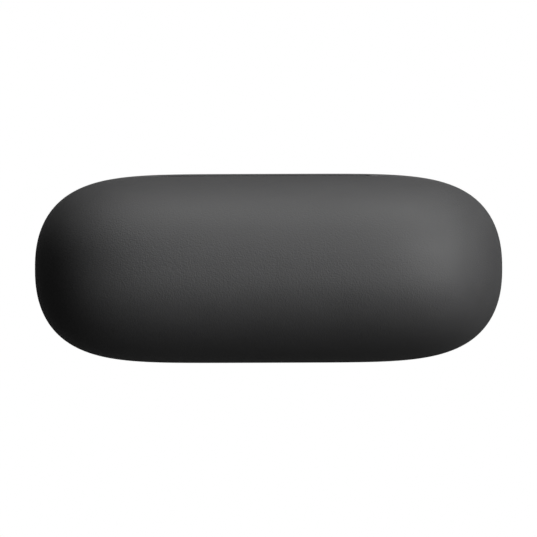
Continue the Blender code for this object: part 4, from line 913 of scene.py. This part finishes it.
def well_ring(sign, scale, grow=0.0, lift=0.0, count=128):
    """A ring down the wall of one well, as rows of x, y, z."""
    turn = np.linspace(0, 2 * np.pi, count, endpoint=False)
    c, s = np.cos(turn), np.sin(turn)
    x = np.sign(c) * np.abs(c) ** (2 / WELL_PLAN_POWER)
    y = np.sign(s) * np.abs(s) ** (2 / WELL_PLAN_POWER)
    taper = 1 + WELL_TAPER * x * min(scale, 1) - WELL_TAPER
    px = x * (WELL_HALF_LENGTH + grow) * scale
    py = y * (WELL_HALF_DEPTH * taper + grow) * scale
    away = np.minimum(np.hypot(px + TIP_INWARD, py) / TIP_RADIUS, 1)
    hollow = TIP_DEPTH * (0.5 + 0.5 * np.cos(np.pi * away))
    fall = (1 - min(scale, 1) ** WELL_BOWL_POWER) ** (1 / WELL_FALL_POWER)
    z = DECK + lift - fall * (WELL_DEPTH + max(grow, 0) + hollow)
    return np.stack([sign * (WELL_X + px), py - WELL_FORWARD, z], axis=1)


def well_lowest(wall=0.0):
    """The height of a well's floor at its middle, where its rings meet."""
    away = min(TIP_INWARD / TIP_RADIUS, 1)
    return DECK - WELL_DEPTH - wall - TIP_DEPTH * (0.5 + 0.5 * math.cos(math.pi * away))


def fall_scale(share):
    """How wide a well is, as a share of its mouth, at a share of its depth."""
    return (1 - share ** WELL_FALL_POWER) ** (1 / WELL_BOWL_POWER)


def cradle_skin():
    """The cradle: a deck inside a raised lip, with two wells hanging from it."""
    bm = bmesh.new()
    plate = DECK - DECK_THICKNESS
    lip_top = SEAM + LIP_RISE
    inner_inset = FIT_INSET + LIP_WALL

    def ring(inset, z):
        share = (inset - FIT_INSET) / LIP_WALL
        made = ring_at(INNER_PLAN, SEAM, inset)
        made[:, 2] = z
        return flat_back(made, CRADLE_LIMIT - LIP_WALL * share)

    rings = [ring(FIT_INSET + 0.05 * MM, plate)]
    rings += [ring(FIT_INSET + LIP_EDGE * c, lip_top - LIP_EDGE * (1 - s)) for s, c in edge_steps()]
    inner_edge = reversed(edge_steps())
    rings += [ring(inner_inset - LIP_EDGE * c, lip_top - LIP_EDGE * (1 - s)) for s, c in inner_edge]
    rings += [ring(inner_inset + LIP_FOOT * c, DECK + LIP_FOOT * (1 - s)) for s, c in edge_steps()]
    skirt = add_rings(bm, rings)
    depth_shares = np.concatenate([np.linspace(0.06, 0.9, 22), [0.94, 0.965, 0.98, 0.99, 0.996]])
    scales = [fall_scale(share) for share in depth_shares]
    scales += list(np.linspace(scales[-1], 0, 16)[1:-1])
    outer_scales = (fall_scale(DECK_THICKNESS / (WELL_DEPTH + WELL_WALL)), 0.985, 0.94, 0.85, 0.7, 0.5, 0.28)
    deck_holes, plate_holes = [], []
    for sign in (-1, 1):
        middle = Vector((sign * WELL_X, -WELL_FORWARD, 0))
        inside = [well_ring(sign, 1.0, WELL_EDGE * (1 - s), -WELL_EDGE * c) for s, c in edge_steps(6)]
        inside += [well_ring(sign, scale) for scale in scales]
        made = add_rings(bm, inside)
        add_pole(bm, made[-1], middle + AXIS_Z * well_lowest())
        outside = [well_ring(sign, scale, WELL_WALL) for scale in outer_scales]
        outside[0][:, 2] = plate
        outer_made = add_rings(bm, outside)
        add_pole(bm, outer_made[-1], middle + AXIS_Z * well_lowest(WELL_WALL))
        deck_holes.append(made[0])
        plate_holes.append(outer_made[0])
    fill_between(bm, skirt[-1], deck_holes)
    fill_between(bm, skirt[0], plate_holes)
    cradle = piece("cradle_moulding", bm, "cradle", "base", "cradle_plastic", 50)
    for name in CONTACTS:
        cut_mesh(cradle, contact_hole(name))


def contact_hole(name):
    """A cutter for the hole that a contact stands in, its mouth eased."""
    low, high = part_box(f"contact_barrel_{name}")
    hole = (high.x - low.x) / 2 + BARREL_GAP
    top = high.z - low.z + MM
    profile = [(0, 0), (hole, 0), (hole, top - BARREL_FLARE)]
    profile += [(hole + BARREL_FLARE, top + 0.01 * MM), (hole + BARREL_FLARE * 2, top + MM), (0, top + MM)]
    bm = bmesh.new()
    turned_mesh(bm, profile, AXIS_Z, Vector(((low.x + high.x) / 2, (low.y + high.y) / 2, low.z - MM)))
    return bm


# ---------------------------------------------------------------- fittings

CONTACTS = [f"{side}_{place}" for side in ("left", "right") for place in ("inner", "outer")]


def contact_pieces():
    """The sleeve and the domed tip of each charging contact."""
    edge = BARREL_EDGE
    for name in CONTACTS:
        low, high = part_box(f"contact_barrel_{name}")
        middle = Vector(((low.x + high.x) / 2, (low.y + high.y) / 2, 0))
        floor = low.z + BARREL_FLOOR
        profile = [(0, low.z), (BARREL_RADIUS, low.z)]
        profile += [(BARREL_RADIUS - edge * c, high.z - edge * (1 - s)) for s, c in edge_steps(4)]
        profile += [(BARREL_BORE + edge * c, high.z - edge * (1 - s)) for s, c in reversed(edge_steps(4))]
        profile += [(BARREL_BORE, floor), (0, floor)]
        sleeve = (f"contact_sleeve_{name}", profile, AXIS_Z, middle, f"contact_barrel_{name}")
        turned_piece(*sleeve, "base", "contact_gold")
        low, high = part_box(f"contact_plunger_{name}")
        dome_start = high.z - TIP_PIN_DOME
        profile = [(0, low.z), (TIP_PIN_RADIUS, low.z)]
        for turn in np.linspace(0, 1.45, 9):
            profile.append((TIP_PIN_RADIUS * math.cos(turn), dome_start + TIP_PIN_DOME * math.sin(turn)))
        profile.append((0, high.z))
        tip = (f"contact_tip_{name}", profile, AXIS_Z, middle, f"contact_plunger_{name}")
        turned_piece(*tip, f"plunger_{name}", "contact_gold")


def contact_coils():
    """The springs under the contact tips."""
    around, steps = 8, 24
    angles = [2 * math.pi * i / around for i in range(around)]
    for name in CONTACTS:
        low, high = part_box(f"contact_spring_{name}")
        length = high.z - low.z
        radius = (high.x - low.x) / 2 - COIL_WIRE
        middle = Vector(((low.x + high.x) / 2, (low.y + high.y) / 2, 0))
        rings = []
        for step in range(COIL_TURNS * steps + 1):
            turn = 2 * math.pi * step / steps
            out = Vector((math.cos(turn), math.sin(turn), 0))
            rise = low.z + COIL_WIRE + (length - 2 * COIL_WIRE) * step / (COIL_TURNS * steps)
            centre = middle + out * radius + AXIS_Z * rise
            around_wire = [out * math.cos(a) + AXIS_Z * math.sin(a) for a in angles]
            rings.append([centre + way * COIL_WIRE for way in around_wire])
        bm = bmesh.new()
        add_capped(bm, rings)
        coil = piece(f"contact_coil_{name}", bm, f"contact_spring_{name}", "base", "spring_steel", 60)
        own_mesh(coil)


def button_piece():
    """The button's cap follows the case's back, with a shallow dish and a softly rounded edge."""
    low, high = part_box("pairing_button")
    edge_start = BUTTON_RADIUS - BUTTON_EDGE
    steps = 64
    turn = np.linspace(0, 2 * np.pi, steps, endpoint=False)
    sections = [(r * MM, 0.0) for r in (0.4, 0.9, 1.4, 1.9, 2.2)]
    sections += [(edge_start + BUTTON_EDGE * s, BUTTON_EDGE * c) for s, c in edge_steps(5)]
    rings = []
    for radius, fall in sections:
        x, z = radius * np.cos(turn), BUTTON.z + radius * np.sin(turn)
        sink = BUTTON_DISH * max(1 - (radius / edge_start) ** 2, 0)
        rings.append(np.stack([x, half_depth_at(x, z) + BUTTON_PROUD - fall - sink, z], axis=1))
    flange_radius = (high.z - low.z) / 2
    flange_front = low.y + BUTTON_STEM_LENGTH
    flange_back = flange_front + BUTTON_FLANGE
    for radius, y in (
        (BUTTON_RADIUS, flange_back),
        (flange_radius, flange_back),
        (flange_radius, flange_front),
        (BUTTON_STEM_RADIUS, flange_front),
        (BUTTON_STEM_RADIUS, low.y),
    ):
        x, z = radius * np.cos(turn), BUTTON.z + radius * np.sin(turn)
        rings.append(np.stack([x, np.full(steps, y), z], axis=1))
    bm = bmesh.new()
    made = add_rings(bm, rings)
    face = float(half_depth_at(0.0, BUTTON.z)) + BUTTON_PROUD - BUTTON_DISH
    add_pole(bm, made[0], (0, face, BUTTON.z))
    add_pole(bm, made[-1], (0, low.y, BUTTON.z))
    piece("pairing_button_cap", bm, "pairing_button", "button", "button_plastic")


def lamp_piece():
    """The lamp's lens: a flanged rod through the front wall, its end softly rounded."""
    low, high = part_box("light_pipe")
    reach = high.y - low.y
    flange = [(PIPE_FLANGE_RADIUS, 0), (PIPE_FLANGE_RADIUS, PIPE_FLANGE), (PIPE_RADIUS, PIPE_FLANGE)]
    profile = [(0, 0)] + flange
    profile += [(PIPE_RADIUS - PIPE_DOME * c, reach - PIPE_DOME + PIPE_DOME * s) for s, c in edge_steps(4)]
    profile += [(0, reach)]
    root = Vector((0, high.y, LAMP_HEIGHT))
    turned_piece("lamp_lens", profile, -AXIS_Y, root, "light_pipe", "base", "light_pipe", 48)


def hinge_pieces():
    """Leaves, knuckles and pin with fine steps and eased edges."""
    low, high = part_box("hinge_base_leaf")
    plate_top = HINGE.z - KNUCKLE_RADIUS - BASE_LEAF_DROP
    plate_back = HINGE.y - BASE_LEAF_BACK
    bm = bmesh.new()
    rounded_box(bm, low, Vector((high.x, plate_back, plate_top)), LEAF_EDGE)
    leaf = piece("hinge_base_plate", bm, "hinge_base_leaf", "base", "hinge_steel", 35)
    spans = [(-CENTRE_KNUCKLE_HALF, CENTRE_KNUCKLE_HALF), (-LUG_END, -LUG_START), (LUG_START, LUG_END)]
    for start, end in spans:
        add_knuckle(leaf, start, end, low.y, plate_back + 0.2 * MM, plate_top - MM, HINGE.z)
    low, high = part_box("hinge_lid_leaf")
    plate_bottom = HINGE.z + KNUCKLE_RADIUS + LID_LEAF_LIFT
    plate_back = HINGE.y - LID_LEAF_BACK
    bm = bmesh.new()
    rounded_box(bm, Vector((low.x, low.y, plate_bottom)), Vector((high.x, plate_back, high.z)), LEAF_EDGE)
    leaf = piece("hinge_lid_plate", bm, "hinge_lid_leaf", "lid", "hinge_steel", 35)
    for sign in (-1, 1):
        start, end = sorted((sign * LID_KNUCKLE[0], sign * LID_KNUCKLE[1]))
        add_knuckle(leaf, start, end, low.y, plate_back + 0.4 * MM, HINGE.z, plate_bottom + MM)
    low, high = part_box("hinge_pin")
    profile = rounded_profile(PIN_RADIUS, low.x, high.x, KNUCKLE_EDGE)
    centre = Vector((0, HINGE.y, HINGE.z))
    turned_piece("hinge_axle", profile, AXIS_X, centre, "hinge_pin", "base", "pin_steel")


def add_knuckle(leaf, start, end, front, back, low, high):
    """Joins a knuckle and its arm to a leaf, and bores it for the pin."""
    centre = Vector((0, HINGE.y, HINGE.z))
    arm = bmesh.new()
    arm_low = Vector((start + ARM_INSET, front + ARM_INSET, low))
    rounded_box(arm, arm_low, Vector((end - ARM_INSET, back, high)), ARM_EDGE)
    cut_mesh(leaf, arm, "UNION")
    knuckle = bmesh.new()
    turned_mesh(knuckle, rounded_profile(KNUCKLE_RADIUS, start, end, KNUCKLE_EDGE), AXIS_X, centre, 56)
    cut_mesh(leaf, knuckle, "UNION")
    bore = bmesh.new()
    profile = [(0, start - MM), (PIN_BORE, start - MM), (PIN_BORE, end + MM), (0, end + MM)]
    turned_mesh(bore, profile, AXIS_X, centre)
    cut_mesh(leaf, bore)
    leaf.data.shade_smooth()
    leaf.data.set_sharp_from_angle(angle=math.radians(35))


def socket_pieces():
    """The charging socket: drawn sleeve, tongue with its contacts, and the gasket round its mouth."""
    tube_piece("socket_sleeve", "socket_shell", SOCKET_WALL, SLEEVE_EDGE, "socket_steel")
    tube_piece("socket_seal", "socket_gasket", GASKET_WALL, SEAL_EDGE, "gasket_rubber")
    low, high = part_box("socket_tongue")
    root = high.z - TONGUE_ROOT
    plug = stadium(SOCKET_HIGH.x - SOCKET_WALL - PLUG_GAP, SOCKET_HIGH.y - SOCKET_WALL - PLUG_GAP)
    bm = bmesh.new()
    add_capped(bm, [at_height(plug, root), at_height(plug, high.z)])
    tongue = piece("socket_blade", bm, "socket_tongue", "base", "frame_plastic")
    blade = bmesh.new()
    blade_low = Vector((-TONGUE_HALF_WIDTH, -TONGUE_HALF_DEPTH, low.z))
    blade_high = Vector((TONGUE_HALF_WIDTH, TONGUE_HALF_DEPTH, high.z - TONGUE_ROOT / 2))
    rounded_box(blade, blade_low, blade_high, TONGUE_EDGE)
    cut_mesh(tongue, blade, "UNION")
    bm = bmesh.new()
    half = Vector((PAD_HALF_WIDTH, PAD_PROUD, 0))
    for y in (-TONGUE_HALF_DEPTH, TONGUE_HALF_DEPTH):
        for i in range(PADS_A_SIDE):
            x = (i - (PADS_A_SIDE - 1) / 2) * PAD_PITCH
            pad_low = Vector((x, y, low.z + 0.6 * MM)) - half
            rounded_box(bm, pad_low, Vector((x, y, root - 0.3 * MM)) + half, PAD_EDGE, 1)
    piece("socket_contacts", bm, "socket_tongue", "base", "contact_gold")


def tube_piece(name, node, wall, edge, slot):
    """A tube of slot-shaped section with rounded ends."""
    low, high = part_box(node)
    edge = min(edge, wall / 2)
    steps = edge_steps(3)
    outside = [(-edge * (1 - s), edge * c) for s, c in steps]
    inside = [(edge * (1 - s) - wall, edge * c) for s, c in steps]
    section = [(out, high.z - up) for out, up in outside[::-1] + inside]
    section += [(out, low.z + up) for out, up in inside[::-1] + outside]
    bm = bmesh.new()
    add_rings(bm, [at_height(stadium(high.x + out, high.y + out), z) for out, z in section], closed=True)
    piece(name, bm, node, "base", slot)


# ---------------------------------------------------------------- studio

def studio_floor():
    """A white floor that only shows from above: it is clear from below, and to the lights."""
    bm = bmesh.new()
    bmesh.ops.create_grid(bm, x_segments=1, y_segments=1, size=FLOOR_SIZE / 2)
    mesh = bpy.data.meshes.new("studio_floor")
    bm.to_mesh(mesh)
    bm.free()
    floor = bpy.data.objects.new("studio_floor", mesh)
    floor.location.z = -FLOOR_GAP
    bpy.context.scene.collection.objects.link(floor)
    material, shader = new_material("white_floor", 0.9, Emission_Strength=1.0)
    shader.inputs["Base Color"].default_value = (0, 0, 0, 1)
    shader.inputs["Emission Color"].default_value = (1, 1, 1, 1)
    shader.inputs["Specular IOR Level"].default_value = 0.0
    tree = material.node_tree
    path, shape = tree.nodes.new("ShaderNodeLightPath"), tree.nodes.new("ShaderNodeNewGeometry")
    seen = path.outputs["Is Camera Ray"]
    shows = math_node(tree, "SUBTRACT", seen, shape.outputs["Backfacing"], True)
    tree.links.new(shows, shader.inputs["Alpha"])
    mesh.materials.append(material)


def soft_light(name, direction, size, power):
    """A square soft box that faces the case's middle."""
    data = bpy.data.lights.new(name, "AREA")
    data.size = size
    data.energy = power
    light = bpy.data.objects.new(name, data)
    way = Vector(direction).normalized()
    light.location = Vector((0, 0, HEIGHT / 2)) + way * LIGHT_DISTANCE
    light.rotation_euler = way.to_track_quat("Z", "Y").to_euler()
    light.visible_camera = False
    bpy.context.scene.collection.objects.link(light)


def studio():
    """The floor, the soft boxes and a faint light all round, with white behind everything."""
    studio_floor()
    for name, (direction, size, power) in LIGHTS.items():
        soft_light(name, direction, size, power)
    world = bpy.data.worlds.new("studio")
    bpy.context.scene.world = world
    world.use_nodes = True
    nodes, links = world.node_tree.nodes, world.node_tree.links
    back = nodes["Background"]
    back.inputs["Color"].default_value = (1, 1, 1, 1)
    path = nodes.new("ShaderNodeLightPath")
    level = nodes.new("ShaderNodeMapRange")
    level.inputs["To Min"].default_value = AMBIENT
    level.inputs["To Max"].default_value = 1.0
    links.new(path.outputs["Is Camera Ray"], level.inputs["Value"])
    links.new(level.outputs["Result"], back.inputs["Strength"])
    bpy.context.scene.view_settings.view_transform = "Standard"


def camera():
    """Straight down on the closed lid through a long lens."""
    data = bpy.data.cameras.new("camera")
    data.lens = LENS
    data.sensor_width = SENSOR
    data.clip_start, data.clip_end = 0.01, 10.0
    obj = bpy.data.objects.new("camera", data)
    obj.location = (*VIEW_CENTRE, BELLY + VIEW_WIDTH * LENS / SENSOR)
    obj.rotation_euler = (0, 0, VIEW_TURN)
    bpy.context.scene.collection.objects.link(obj)
    bpy.context.scene.camera = obj


def main():
    camera()
    studio()
    finish_carried_nodes()
    lid_skin()
    liner_skin()
    base_skin()
    hinge_beads()
    cradle_skin()
    contact_pieces()
    contact_coils()
    button_piece()
    lamp_piece()
    hinge_pieces()
    socket_pieces()


main()
